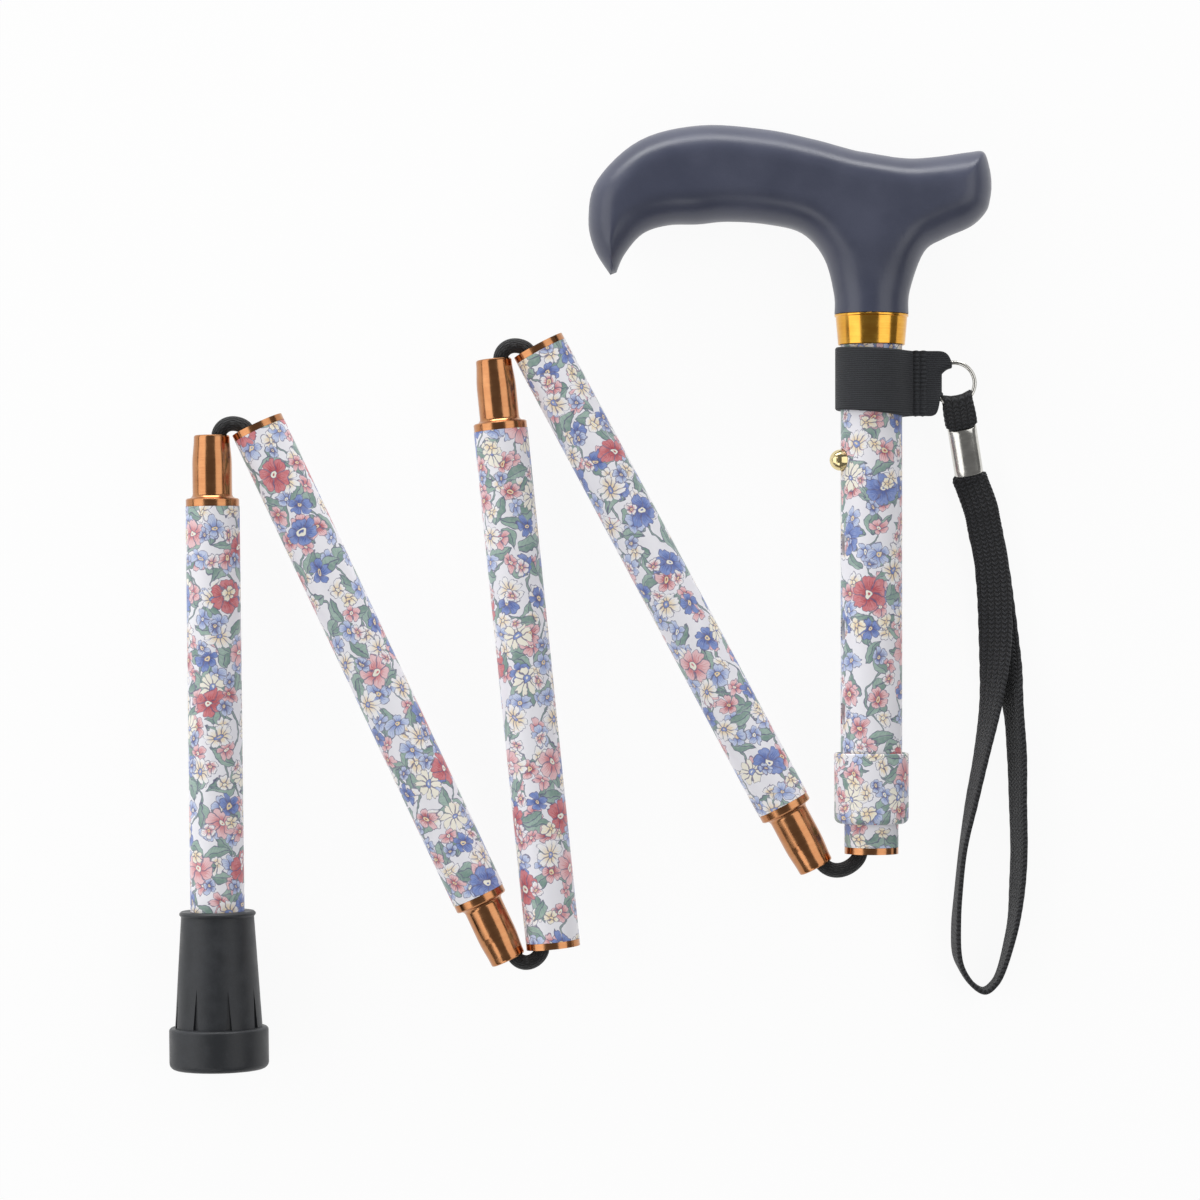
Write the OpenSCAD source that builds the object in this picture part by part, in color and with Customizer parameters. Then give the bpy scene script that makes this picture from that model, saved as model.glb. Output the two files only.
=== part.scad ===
// Folding walking cane with a derby handle, lying flat in its zigzag fold.
// Every section has the same build: a tube, a ferrule stub at its upper end and a mouth ring
// at its lower end. The stub of one section plugs into the mouth of the section above it.
// Shaft frame: z runs up the cane towards the handle, x across it in the plane of the fold.

/* [Shaft tubes] */
// Outside diameter of the folding tubes
tube_d = 16; // [13:0.5:20]
// Wall of the folding tubes
tube_wall = 1; // [0.8:0.1:1.6]
// Middle section, from its mouth to its ferrule flange
section_len = 156.5; // [120:0.5:200]
// Foot section, from the tread to its ferrule flange
foot_section_len = 169; // [130:0.5:210]
// Height tube above the snap button, inside the handle tube
inner_over = 14.5; // [10:0.5:24]

/* [Handle tube] */
// Wall of the handle tube
handle_tube_wall = 1; // [0.8:0.1:1.6]
// Handle tube from the collar seat to the lock ring
handle_tube_show = 130; // [110:1:160]
// Depth of the tube in the handle
handle_socket = 26; // [15:1:32]
// Play of the height tube in the handle tube, on each side
slide_play = 0.1; // [0.05:0.01:0.1]
// Distance of the top height hole below the collar seat
hole_start = 43.3; // [38:0.1:50]
// Distance of the lowest height hole above the lock ring
hole_end = 11.7; // [8:0.1:20]
// Number of height holes
hole_count = 4; // [2:1:4]
// Diameter of a height hole
hole_d = 6.6; // [5:0.1:8]
// Turn of the hole row towards the upper side
hole_turn = 15; // [0:1:40]

/* [Snap button] */
// Play of the button in its holes, on each side
button_play = 0.15; // [0.1:0.05:0.3]
// Height of the button above the handle tube
button_rise = 3.8; // [2.5:0.1:5]
// Length of the button's straight shank inside the dome
button_shank = 4.6; // [4:0.1:6]
// Thickness of the spring strip
spring_t = 0.6; // [0.4:0.1:1]
// Width of the spring strip
spring_w = 5; // [3:0.5:6]
// Length of the spring's legs
spring_leg = 28; // [18:1:32]

/* [Lock ring] */
// Wall of the bush on the handle tube's end
bush_wall = 0.7; // [0.5:0.05:1.2]
// Play of the lock ring on its bush, on each side
bush_play = 0.3; // [0.3:0.05:0.5]
// Height of the lock ring
lock_h = 20.9; // [16:0.1:26]
// Radius of the lock ring's lower edge
lock_edge = 2; // [0.5:0.1:2.5]
// Wall of the lock ring
lock_wall = 0.85; // [0.7:0.05:1.2]
// Height tube left in view below the lock ring
inner_show = 8.9; // [5:0.1:20]

/* [Ferrules] */
// Wall of the stub at its tip
stub_wall = 0.6; // [0.5:0.1:1.2]
// Inset of the stub's tip, on each side
tip_inset = 0.55; // [0.2:0.05:0.8]
// Length of the stub beyond its flange
stub_len = 18.8; // [12:0.1:24]
// Length of the stub's tapered end
tip_len = 8.5; // [3:0.1:12]
// Inset of the flange from the tube's outside, on each side
flange_inset = 0.1; // [0:0.05:0.5]
// Thickness of the flange
flange_t = 2.4; // [1:0.1:4]
// Radius of the fillet above the flange
flange_fillet = 1.4; // [0.5:0.1:1.8]
// Length of the plug inside the tube
plug_len = 20; // [12:1:30]
// Height of the mouth ring's rim
rim_t = 2; // [1:0.1:4]
// Wall of the mouth ring's sleeve
sleeve_wall = 1; // [0.8:0.1:1.4]
// Sleeve beyond the tip of a seated stub
sleeve_over = 1.2; // [0.5:0.1:4]
// Play of a stub in a mouth ring, on each side
stub_play = 0.1; // [0.05:0.01:0.1]
// Gap left around a pressed or glued seat, on each side
seat_gap = 0.05; // [0.02:0.01:0.1]

/* [Fold] */
// Turn of section 4 from the handle tube, clockwise
turn_4 = 151.9; // [145:0.1:165]
// Turn of section 3 from the handle tube
turn_3 = -5.8; // [-8:0.1:2]
// Turn of section 2 from the handle tube
turn_2 = 154.8; // [150:0.1:165]
// Turn of section 1 from the handle tube
turn_1 = -0.7; // [-4:0.1:4]
// Room between a folded stub and the section above it
fold_play = 0.35; // [0.3:0.05:1]
// Gap of the pivot to the mouth and to the stub tip
pivot_gap = 0.3; // [0.2:0.1:1]

/* [Elastic cord] */
// Diameter of the cord
cord_d = 4.4; // [3:0.1:4.6]
// Play of the cord beside the stub's bore and the mouth
cord_play = 0.35; // [0.2:0.05:0.6]
// Distance above each sleeve where the bend takes over
cord_over = 5; // [2:0.5:10]
// Height of the plug that holds the cord
anchor_h = 8; // [5:0.5:12]
// Distance of the upper plug above its mouth
anchor_up = 52; // [40:1:60]
// Distance of the lower plug above the foot washer
anchor_low = 10; // [4:1:20]

/* [Foot] */
// Height of the rubber foot
foot_h = 46.7; // [38:0.1:60]
// Ledge of the base ring beyond the taper, on each side
foot_ledge = 1.8; // [1.2:0.1:4]
// Height of the base ring
foot_base_h = 12.4; // [8:0.1:18]
// Flare of the taper from its top to the base ring, on each side
foot_flare = 2.1; // [1:0.1:4]
// Wall of the foot at its top
foot_wall = 2.8; // [2.4:0.1:4]
// Height of the bead around the top
foot_bead = 1.2; // [1:0.1:3]
// Radius of the base ring's edges
foot_edge = 2; // [0.5:0.1:3]
// Rubber below the washer
foot_floor = 15; // [13:0.5:20]
// Thickness of the washer
washer_t = 1.5; // [1:0.1:2.5]
// Number of flutes above the base ring
flute_count = 8; // [4:1:12]
// Height of the flutes
flute_h = 12; // [6:0.5:20]
// Width of a flute at the base ring
flute_w = 1.8; // [1:0.1:4]
// Depth of a flute at the base ring
flute_deep = 0.9; // [0.8:0.1:1.5]
// Width of a tread groove
tread_w = 2; // [1:0.1:3]
// Depth of a tread groove
tread_deep = 1.5; // [0.5:0.1:3]

/* [Handle] */
// Length of the grip from nose to heel
grip_len = 119.4; // [110:0.1:130]
// Thickness of the grip
grip_t = 25.2; // [22:0.2:32]
// Rounding of the grip's edges
grip_round = 9; // [6:0.5:11]
// Share of the thickness that the nose loses
nose_slim = 0.16; // [0:0.02:0.3]
// Wall of the stem round the handle tube
stem_wall = 1.85; // [1.4:0.05:3]
// Height of the collar
collar_h = 9.2; // [6:0.1:14]
// Wall of the collar at its lower end
collar_wall = 0.8; // [0.6:0.1:1.4]
// Height of the bead at the collar's top
collar_bead = 0.9; // [0.5:0.1:2]

/* [Wrist strap] */
// Thickness of the cuff band
cuff_t = 1.5; // [1:0.1:2]
// Gap between the collar and the cuff
cuff_gap = 0.7; // [0.3:0.1:3]
// Height of the flap's ear above the ring
ear_up = 3.45; // [2:0.05:5]
// Height of the flap's ear below the ring
ear_low = 1.85; // [1:0.05:4]
// Mean radius of the ring
ring_r = 6.1; // [5:0.1:8]
// Wire of the ring
wire_d = 1.3; // [1:0.1:2]
// Reach of the flap from the handle tube to the ring's wire
flap_reach = 9.3; // [8.5:0.1:14]
// Width of the webbing
web_w = 10; // [8:0.5:14]
// Thickness of the webbing
web_t = 1.6; // [1:0.1:2]
// Width of the tab where it folds round the ring
tab_fold_w = 8; // [6:0.5:8]
// Tab in view between the ring and the crimp
tab_show = 8.6; // [6:0.1:14]
// Length of the hanging loop below the tab's axis
loop_len = 175.8; // [150:0.1:200]
// Width of the crimp
crimp_w = 8.6; // [7.6:0.1:12]
// Length of the crimp
crimp_len = 15; // [10:0.5:20]
// Sheet of the crimp
crimp_wall = 0.7; // [0.4:0.1:1]
// Sideways lean of the strap
strap_lean = 11.4; // [0:0.1:20]
// Slope of the tab and crimp down to the table
strap_slope = 24; // [15:1:30]

/* [Hidden] */
$fn = 64;
bore_fn = 48;
running_gap = 0.3;
tube_id = tube_d - 2 * tube_wall;
handle_tube_id = tube_d + 2 * slide_play;
handle_tube_d = handle_tube_id + 2 * handle_tube_wall;
stub_d = tube_id - 2 * (seat_gap + sleeve_wall + stub_play);
tip_d = stub_d - 2 * tip_inset;
stub_bore = tip_d - 2 * stub_wall;
flange_d = tube_d - 2 * flange_inset;
flange_bevel = 0.35;
root_fillet = min(flange_fillet, (flange_d - stub_d) / 2 - flange_bevel - 0.1);
mouth_id = stub_d + 2 * stub_play;
sleeve_len = stub_len + sleeve_over;
stem_d = handle_tube_d + 2 * stem_wall;
collar_low_d = handle_tube_d + 2 * collar_wall;
foot_top_d = tube_d + 2 * foot_wall;
foot_waist_d = foot_top_d + 2 * foot_flare;
foot_base_d = foot_waist_d + 2 * foot_ledge;

// Heights along the shaft, from the collar seat
lock_top = -handle_tube_show;
lock_bottom = lock_top - lock_h;
mouth_5 = lock_bottom - inner_show;
button_z = -hole_start;
hole_pitch = (handle_tube_show - hole_start - hole_end) / max(1, hole_count - 1);

// Lock ring and the bush it closes on
lock_lip = 2;
bush_r = handle_tube_d / 2 + seat_gap + bush_wall;
lock_d = 2 * (bush_r + bush_play + lock_wall);
bush_nose = 2.4;
bush_bottom = lock_bottom + lock_lip + running_gap;
bush_step = bush_bottom + bush_nose;
bush_top = lock_top - 1.2;

// Cord offsets from the tube axes, at a stub and at a mouth
cord_stop = sleeve_len + cord_over;
anchor_lip = 2;
cord_at_stub = stub_bore / 2 - cord_d / 2 - cord_play;
cord_at_mouth = mouth_id / 2 - cord_d / 2 - cord_play;

// Places in the plane of the fold: turn of each section, side of its upper pivot, and length
turns = [0, turn_1, turn_2, turn_3, turn_4, 0];
sides = [0, 1, -1, 1, -1];
function beside(k) = k == 4 ? lock_d / 2 : tube_d / 2;
function pivot(k) = let(open = 180 - abs(turns[k] - turns[k + 1]))
    (beside(k) + fold_play + tip_d / 2 * cos(open) + pivot_gap * sin(open)) / (1 + cos(open));
function len_of(k) = k == 1 ? foot_section_len : section_len;
function spun(a, v) = [v[0] * cos(a) + v[1] * sin(a), v[1] * cos(a) - v[0] * sin(a)];
function pivot_at(k) = mouth_at(k + 1) + spun(turns[k + 1], [sides[k] * pivot(k), -pivot_gap]);
function mouth_at(k) = k == 5
    ? [0, mouth_5]
    : pivot_at(k) - spun(turns[k], [sides[k] * pivot(k), len_of(k) + stub_len + pivot_gap]);

// Loft stations of the handle in the shaft frame, from the nose to the heel: crown point, underside point
grip_drawn = 119.4;
grip_size = grip_len / grip_drawn;
stem_side = [stem_d / 2, 0];
nose_stations = [
    grip_size * [[-77.4, 11.7], [-75.6, 12.4]],
    grip_size * [[-82.1, 19.3], [-73.1, 17.9]],
    grip_size * [[-83.9, 28.3], [-67.8, 23.9]],
    grip_size * [[-81.3, 39.8], [-60.4, 26.4]],
    grip_size * [[-68.7, 51.5], [-51.5, 26.7]],
    grip_size * [[-50.9, 55.9], [-42.6, 27.5]],
    grip_size * [[-31.6, 54.7], [-30.9, 26.7]],
    grip_size * [[-17.7, 51.9], [-20.5, 24]],
    [grip_size * [-10.6, 50], grip_size * [-3.05, 16.6] - stem_side],
    [grip_size * [-7, 49], grip_size * [-0.15, 6] - stem_side],
    [grip_size * [-4.7, 48.4], grip_size * [0, -4] - stem_side]
];
heel_stations = [
    [grip_size * [4.8, 46.8], grip_size * [0, -4] + stem_side],
    [grip_size * [7.5, 46.4], grip_size * [0.4, 7] + stem_side],
    [grip_size * [12.8, 46.1], grip_size * [4.6, 18.4] + stem_side],
    grip_size * [[20.8, 46.8], [21.6, 22.5]],
    grip_size * [[28.5, 47.9], [29.6, 26.1]],
    grip_size * [[33.1, 48], [33.9, 30.3]],
    grip_size * [[34.9, 43.3], [35.1, 34]],
    grip_size * [[35.5, 39.4], [35.5, 37]]
];
neck_top = 22 * grip_size;
neck_run = 14 * grip_size;
loft_steps = 3;
stem_steps = 10;
loft_cells = 12;
loft_edge = 0.3;
nose_from = -45 * grip_size;
nose_to = -80 * grip_size;

// Box of the cane without its strap, for the origin below its middle
foot_at = mouth_at(1);
left = foot_at[0] + min([for (h = [0, foot_base_h]) spun(turn_1, [-foot_base_d / 2, h])[0]]);
low = foot_at[1] - foot_base_d / 2 * abs(sin(turn_1));
right = max([for (s = heel_stations) max(s[0][0], s[1][0])]);
high = max([for (s = nose_stations) s[0][1]]);
middle = [(left + right) / 2, (low + high) / 2];
axis_h = foot_base_d / 2;

// Strap: ring centre, tab axis and webbing places in the plane of the fold
tongue_w = 5;
slot_h = ring_r + wire_d / 2 + running_gap;
cuff_w = 2 * slot_h + ear_up + ear_low;
cuff_start = collar_h + cuff_gap;
ring_out = handle_tube_d / 2 + flap_reach;
ring_at = [ring_out + ring_r, -cuff_start - ear_up - slot_h];
tongue_sag = ring_r - sqrt(ring_r * ring_r - tongue_w * tongue_w / 4);
tongue_r = wire_d / 2 + tongue_sag / 2 + 0.45;
fold_sag = ring_r - sqrt(ring_r * ring_r - tab_fold_w * tab_fold_w / 4);
fold_r = wire_d / 2 + fold_sag / 2 + 0.25;
fold_ply = 1.1;
tab_axis = ring_at + (ring_r - fold_sag / 2) * [sin(strap_lean), -cos(strap_lean)];
web_gap = 0.2;
web_off = web_t / 2 + web_gap / 2;
crimp_play = 0.15;
crimp_end = tab_show + crimp_len;
web_start = tab_show + crimp_len / 2 + running_gap / 2;
web_flare = 1.5;
neck_w = crimp_w - 2 * (crimp_wall + crimp_play);

// Hand-laid route of the loop: x and y from the tab's axis, height above the table, roll of the webbing
loop_drawn = 175.8;
loop_size = loop_len / loop_drawn;
laid_flat = 90;
loop_route = [
    [7.9, -31.4, 2, 90],
    [9.4, -37.4, 1.3, 90],
    [11.5, -48.4, 1.2, 90],
    [13.4, -62.4, 1.7, 84],
    [15.1, -76.4, 2.9, 70],
    [17.4, -90.4, 5.1, 29],
    [18.6, -105.4, 5.2, 25],
    [18.9, -119.4, 5.25, 21],
    [19.2, -133.4, 5.3, 19],
    [18.7, -144.4, 5.3, 17],
    [17.7, -154.4, 5.4, 10],
    [16, -162.4, 5.4, 6],
    [14, -169.4, 5.4, 2],
    [12, -173.4, 5.4, 0],
    [8.8, -175.8, 5.4, 0],
    [5.2, -173.8, 5.4, 0],
    [2.2, -169.4, 5.4, 0],
    [0.6, -164.4, 5.4, -5],
    [0.4, -156.4, 5.4, -5],
    [1, -147.4, 5.4, -2],
    [2.5, -133.4, 5.4, -2],
    [5.1, -119.4, 5.4, -11],
    [8, -105.4, 5.4, -17],
    [10.7, -90.4, 5.4, -32],
    [11.9, -76.4, 5.7, -56],
    [12, -62.4, 5.5, -80],
    [11, -48.4, 5, -90],
    [8.9, -37.4, 5.1, -90],
    [7.7, -31.4, 5.7, -90]
];
loop_steps = 2;
bend_steps = 12;
bend_draw = 0.3;
bend_lead = 0.8;
cord_sides = 10;

// Curves and skins
function unit(v) = v / norm(v);
function mix(a, b, t) = a + (b - a) * t;
function eased(t) = let(c = max(0, min(1, t))) c * c * (3 - 2 * c);
function knot(p, i) = p[max(0, min(len(p) - 1, i))];
function through(p, i, t) = let(a = knot(p, i - 1), b = p[i], c = p[i + 1], d = knot(p, i + 2))
    0.5 * (2 * b + (c - a) * t + (2 * a - 5 * b + 4 * c - d) * t * t + (3 * b - a - 3 * c + d) * t * t * t);
function smooth(p, n) = [for (i = [0:len(p) - 2], s = [0:n - 1]) through(p, i, s / n), p[len(p) - 1]];
function skin(rings, n) = concat(
    [[for (j = [0:n - 1]) j]],
    [[for (j = [n - 1:-1:0]) (rings - 1) * n + j]],
    [for (i = [0:rings - 2], j = [0:n - 1]) [i * n + j, (i + 1) * n + j, (i + 1) * n + (j + 1) % n]],
    [for (i = [0:rings - 2], j = [0:n - 1]) [i * n + j, (i + 1) * n + (j + 1) % n, i * n + (j + 1) % n]]
);

// Distance of a point from a run of points
function to_piece(q, a, b) = let(
    d = b - a,
    t = max(0, min(1, (q - a) * d / max(d * d, 1e-9)))
) norm(q - a - t * d);
function to_run(q, run) = min([for (i = [0:len(run) - 2]) to_piece(q, run[i], run[i + 1])]);

// Placing
module on_table() {
    translate([-middle[0], -middle[1], axis_h]) children();
}

module on_section(k) {
    at = mouth_at(k);
    on_table() translate([at[0], at[1], 0]) rotate([-90, 0, -turns[k]]) children();
}

module on_shaft() {
    on_table() rotate([-90, 0, 0]) children();
}

module towards_button() {
    translate([0, 0, button_z]) rotate([0, 0, 180 + hole_turn]) children();
}

module in_strap() {
    on_table() translate([tab_axis[0], tab_axis[1], 0]) rotate([strap_slope, 0, strap_lean]) children();
}

// Shared shapes
module pipe(outer, inner, low, high) {
    difference() {
        translate([0, 0, low]) cylinder(d = outer, h = high - low);
        translate([0, 0, low - 1]) cylinder(d = inner, h = high - low + 2, $fn = bore_fn);
    }
}

module rod(from, to, d) {
    along = to - from;
    translate(from)
        rotate([0, acos(along[2] / norm(along)), atan2(along[1], along[0])])
            cylinder(d = d, h = norm(along), $fn = 24);
}

module stub_profile(top) {
    r = stub_d / 2;
    shoulder = top - flange_t;
    tip = top + stub_len;
    nose = 0.6;
    polygon(concat(
        [[stub_bore / 2, shoulder - plug_len], [tube_id / 2 - seat_gap, shoulder - plug_len]],
        [[tube_id / 2 - seat_gap, shoulder + seat_gap], [flange_d / 2, shoulder + seat_gap]],
        [[flange_d / 2, top - flange_bevel], [flange_d / 2 - flange_bevel, top]],
        [for (a = [0:15:90]) [r + root_fillet * (1 - sin(a)), top + root_fillet * (1 - cos(a))]],
        [for (u = [0:0.2:1]) [mix(r, tip_d / 2, eased(u)), tip - tip_len + (tip_len - nose) * u]],
        [for (a = [30:30:90]) [tip_d / 2 - nose * (1 - cos(a)), tip - nose * (1 - sin(a))]],
        [[stub_bore / 2, tip]]
    ));
}

module stub_shape(top) {
    rotate_extrude() stub_profile(top);
}

module mouth_shape(low) {
    lead = root_fillet + stub_play;
    rotate_extrude() polygon([
        [mouth_id / 2 + lead, low],
        [tube_d / 2, low],
        [tube_d / 2, low + rim_t - seat_gap],
        [tube_id / 2 - seat_gap, low + rim_t - seat_gap],
        [tube_id / 2 - seat_gap, low + sleeve_len],
        [mouth_id / 2, low + sleeve_len],
        [mouth_id / 2, low + lead]
    ]);
}

module section_tube(k) {
    on_section(k) pipe(tube_d, tube_id, rim_t, len_of(k) - flange_t);
}

module section_stub(k) {
    on_section(k) stub_shape(len_of(k));
}

module section_mouth(k) {
    on_section(k) mouth_shape(0);
}

// A cord runs from its stub tip to where the bend of the next fold takes over
module section_cord(k, low, low_x) {
    top = len_of(k) + stub_len - bend_lead;
    on_section(k) rod([low_x, 0, low], [sides[k] * cord_at_stub, 0, top], cord_d);
}

// Bend of the cord round a fold's pivot, from the stub tip into the mouth above it
module cord_bend(k) {
    s = sides[k];
    p = pivot(k);
    fold = turns[k] - turns[k + 1];
    near = p - cord_at_mouth;
    far = p - cord_at_stub;
    arc = [for (i = [0:bend_steps])
        let(
            u = i / bend_steps,
            a = fold * (1 - u),
            r = mix(far, near, eased(u)) - bend_draw * near * sin(180 * u)
        )
            [s * p - s * r * cos(a), 0, -pivot_gap + s * r * sin(a)]];
    stops = [cord_stop / 3, cord_stop * 2 / 3, cord_stop - running_gap];
    straight = [for (z = stops) [s * cord_at_mouth, 0, z]];
    route = concat(arc, straight);
    rings = len(route);
    points = [for (i = [0:rings - 1])
        let(t = unit(knot(route, i + 1) - knot(route, i - 1)), u = [0, 1, 0], v = cross(t, u))
        for (j = [0:cord_sides - 1]) let(a = 360 * j / cord_sides)
            route[i] + cord_d / 2 * (cos(a) * u + sin(a) * v)];
    on_section(k + 1) polyhedron(points, skin(rings, cord_sides), convexity = 4);
}

module anchor_plug(low, bore_x) {
    bore = cord_d + 2 * cord_play;
    difference() {
        translate([0, 0, low]) cylinder(d = tube_id - 2 * seat_gap, h = anchor_h);
        translate([bore_x, 0, low - 1]) cylinder(d = bore, h = anchor_h - anchor_lip + 1, $fn = bore_fn);
    }
}

// Handle: a loft whose thickness follows the distance from its own outline
function half_thick(q, t, rim) = let(
    stem = eased((neck_top - q[1]) / neck_run),
    slim = 1 - nose_slim * eased((q[0] - nose_from) / (nose_to - nose_from)),
    half = mix(grip_t / 2 * slim, stem_d / 2, stem),
    edge = mix(grip_round, stem_d / 2, stem),
    away = 1 - min(1, to_run(q, rim) / edge)
) max(loft_edge * (0.5 + sin(180 * t)), half * sqrt(1 - away * away));

module handle_loft() {
    crown_of = function(st) [for (s = st) s[0]];
    under_of = function(st) [for (s = st) s[1]];
    nose_top = smooth(crown_of(nose_stations), loft_steps);
    nose_under = smooth(under_of(nose_stations), loft_steps);
    heel_top = smooth(crown_of(heel_stations), loft_steps);
    heel_under = smooth(under_of(heel_stations), loft_steps);
    between = [for (i = [1:stem_steps - 1]) (1 - cos(180 * i / stem_steps)) / 2];
    a = len(nose_top) - 1;
    tops = concat(nose_top, [for (t = between) mix(nose_top[a], heel_top[0], t)], heel_top);
    unders = concat(nose_under, [for (t = between) mix(nose_under[a], heel_under[0], t)], heel_under);
    b = len(heel_under) - 1;
    rim = concat([for (i = [a:-1:0]) nose_under[i]], tops, [for (i = [b:-1:0]) heel_under[i]]);
    n = len(tops);
    side = [for (j = [0:loft_cells]) (1 - cos(180 * j / loft_cells)) / 2];
    points = [for (i = [0:n - 1])
        let(
            row = [for (t = side) mix(tops[i], unders[i], t)],
            half = [for (m = [0:loft_cells]) half_thick(row[m], side[m], rim)]
        )
        for (j = [0:2 * loft_cells + 1]) let(m = j <= loft_cells ? j : 2 * loft_cells + 1 - j)
            [row[m][0], j <= loft_cells ? -half[m] : half[m], row[m][1]]];
    polyhedron(points, skin(n, 2 * loft_cells + 2), convexity = 6);
}

module handle() {
    color("#3d4257") on_shaft() difference() {
        handle_loft();
        translate([-stem_d, -stem_d, -stem_d + seat_gap]) cube([2 * stem_d, 2 * stem_d, stem_d]);
        translate([0, 0, -1]) cylinder(d = handle_tube_d + 2 * seat_gap, h = handle_socket + seat_gap + 1);
    }
}

module handle_collar() {
    color("#dca12f") on_shaft() rotate_extrude() polygon([
        [handle_tube_d / 2 + seat_gap, -collar_h],
        [collar_low_d / 2 - 0.2, -collar_h],
        [collar_low_d / 2, -collar_h + 0.2],
        [stem_d / 2 - 0.35, -collar_bead],
        [stem_d / 2, -collar_bead + 0.2],
        [stem_d / 2, -0.2],
        [stem_d / 2 - 0.2, 0],
        [handle_tube_d / 2 + seat_gap, 0]
    ]);
}

module handle_tube() {
    color("#e6e4ee") on_shaft() difference() {
        pipe(handle_tube_d, handle_tube_id, bush_step + seat_gap, handle_socket);
        for (i = [0:hole_count - 1])
            translate([0, 0, -i * hole_pitch]) towards_button() rotate([0, 90, 0])
                cylinder(d = hole_d, h = handle_tube_d, $fn = bore_fn);
    }
}

module collet_bush() {
    slit = 1.2;
    inner = handle_tube_id / 2;
    color("#2c2c30") on_shaft() difference() {
        rotate_extrude() polygon([
            [inner, bush_bottom],
            [inner + 0.8, bush_bottom],
            [bush_r, bush_step - 0.3],
            [bush_r, bush_top],
            [handle_tube_d / 2 + seat_gap, bush_top],
            [handle_tube_d / 2 + seat_gap, bush_step],
            [inner, bush_step]
        ]);
        for (a = [45, 135]) rotate([0, 0, a])
            translate([-slit / 2, -lock_d, bush_bottom - 1]) cube([slit, 2 * lock_d, bush_nose]);
    }
}

module lock_ring() {
    r = lock_d / 2;
    bore = r - lock_wall;
    throat = tube_d / 2 + running_gap;
    color("#e6e4ee") on_shaft() rotate_extrude() polygon(concat(
        [[throat, lock_bottom]],
        [for (a = [0:15:90]) [r - lock_edge + lock_edge * sin(a), lock_bottom + lock_edge * (1 - cos(a))]],
        [[r, lock_top - 0.3], [r - 0.3, lock_top], [bore, lock_top]],
        [[bore, bush_step - 0.3], [handle_tube_id / 2 + 1.1, lock_bottom + lock_lip]],
        [[throat, lock_bottom + lock_lip]]
    ));
}

module inner_tube() {
    color("#e6e4ee") on_shaft() difference() {
        pipe(tube_d, tube_id, mouth_5 + rim_t, button_z + inner_over);
        towards_button() rotate([0, 90, 0]) cylinder(d = hole_d, h = tube_d, $fn = bore_fn);
    }
}

module mouth_ring_5() {
    color("#b06f45") on_shaft() mouth_shape(mouth_5);
}

module cord_anchor_top() {
    color("#2c2c30") on_shaft() anchor_plug(mouth_5 + anchor_up, sides[4] * cord_at_mouth);
}

module cord_5() {
    side = sides[4] * cord_at_mouth;
    top = mouth_5 + anchor_up + anchor_h - anchor_lip - running_gap;
    color("#1d1d20") on_shaft() rod([side, 0, mouth_5 + cord_stop], [side, 0, top], cord_d);
}

module snap_button() {
    r = hole_d / 2 - button_play;
    top = handle_tube_d / 2 + button_rise;
    color("#d6b566") on_shaft() towards_button() rotate([0, 90, 0]) rotate_extrude() polygon(concat(
        [[0, top - r - button_shank], [r, top - r - button_shank]],
        [for (a = [0:10:90]) [r * cos(a), top - r + r * sin(a)]]
    ));
}

module button_spring() {
    head = handle_tube_d / 2 + button_rise - hole_d / 2 + button_play - button_shank - running_gap;
    far = -sqrt(tube_id * tube_id / 4 - spring_w * spring_w / 4) + running_gap;
    heel = -spring_leg;
    color("#b9bcc0") on_shaft() towards_button() rotate([90, 0, 0])
        translate([0, 0, -spring_w / 2]) linear_extrude(height = spring_w) polygon([
            [head, hole_d / 2],
            [head, -hole_d / 2],
            [0.4, heel],
            [-0.8, heel - spring_t],
            [-2, heel],
            [far, 2],
            [far + spring_t, 2],
            [-1.3, heel + 0.4],
            [-0.8, heel + 0.1],
            [-0.3, heel + 0.4],
            [head - spring_t, -hole_d / 2 + 0.2],
            [head - spring_t, hole_d / 2]
        ]);
}

module strap_cuff() {
    inner = handle_tube_d / 2 + 0.15;
    outer = inner + cuff_t;
    hub = ring_out + tongue_sag / 2;
    seam = outer + 0.6;
    flap = 2 * cuff_t + web_gap;
    end = hub + tongue_r + cuff_t - 0.2;
    top = -cuff_start;
    mid = ring_at[1];
    room = slot_h - tongue_w / 2;
    color("#2b2d30") on_shaft() difference() {
        union() {
            translate([0, 0, top - cuff_w]) linear_extrude(height = cuff_w) difference() {
                union() {
                    hull() {
                        circle(r = outer, $fn = 96);
                        translate([seam + 1, 0]) circle(r = flap / 2, $fn = 32);
                    }
                    translate([seam, -flap / 2 - 0.4]) square([4.6, flap + 0.8]);
                    translate([seam, -flap / 2]) square([end - seam, flap]);
                }
                circle(r = inner, $fn = 96);
            }
            translate([hub, 0, mid - tongue_w / 2]) cylinder(r = tongue_r + cuff_t - 0.2, h = tongue_w);
        }
        translate([hub, 0, mid - tongue_w]) cylinder(r = tongue_r, h = 2 * tongue_w, $fn = bore_fn);
        for (z = [mid - slot_h, mid + tongue_w / 2]) translate([hub - tongue_r - 1.4, -outer, z])
            cube([outer, 2 * outer, room]);
        translate([tab_axis[0] - tab_fold_w / 2 - 1.2, -outer, top - cuff_w - 1])
            cube([outer, 2 * outer, mid - slot_h - top + cuff_w + 2]);
    }
}

module strap_ring() {
    color("#c9ccd0") on_table() translate([ring_at[0], ring_at[1], 0]) rotate_extrude($fn = 96)
        translate([ring_r, 0]) circle(d = wire_d, $fn = 24);
}

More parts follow.
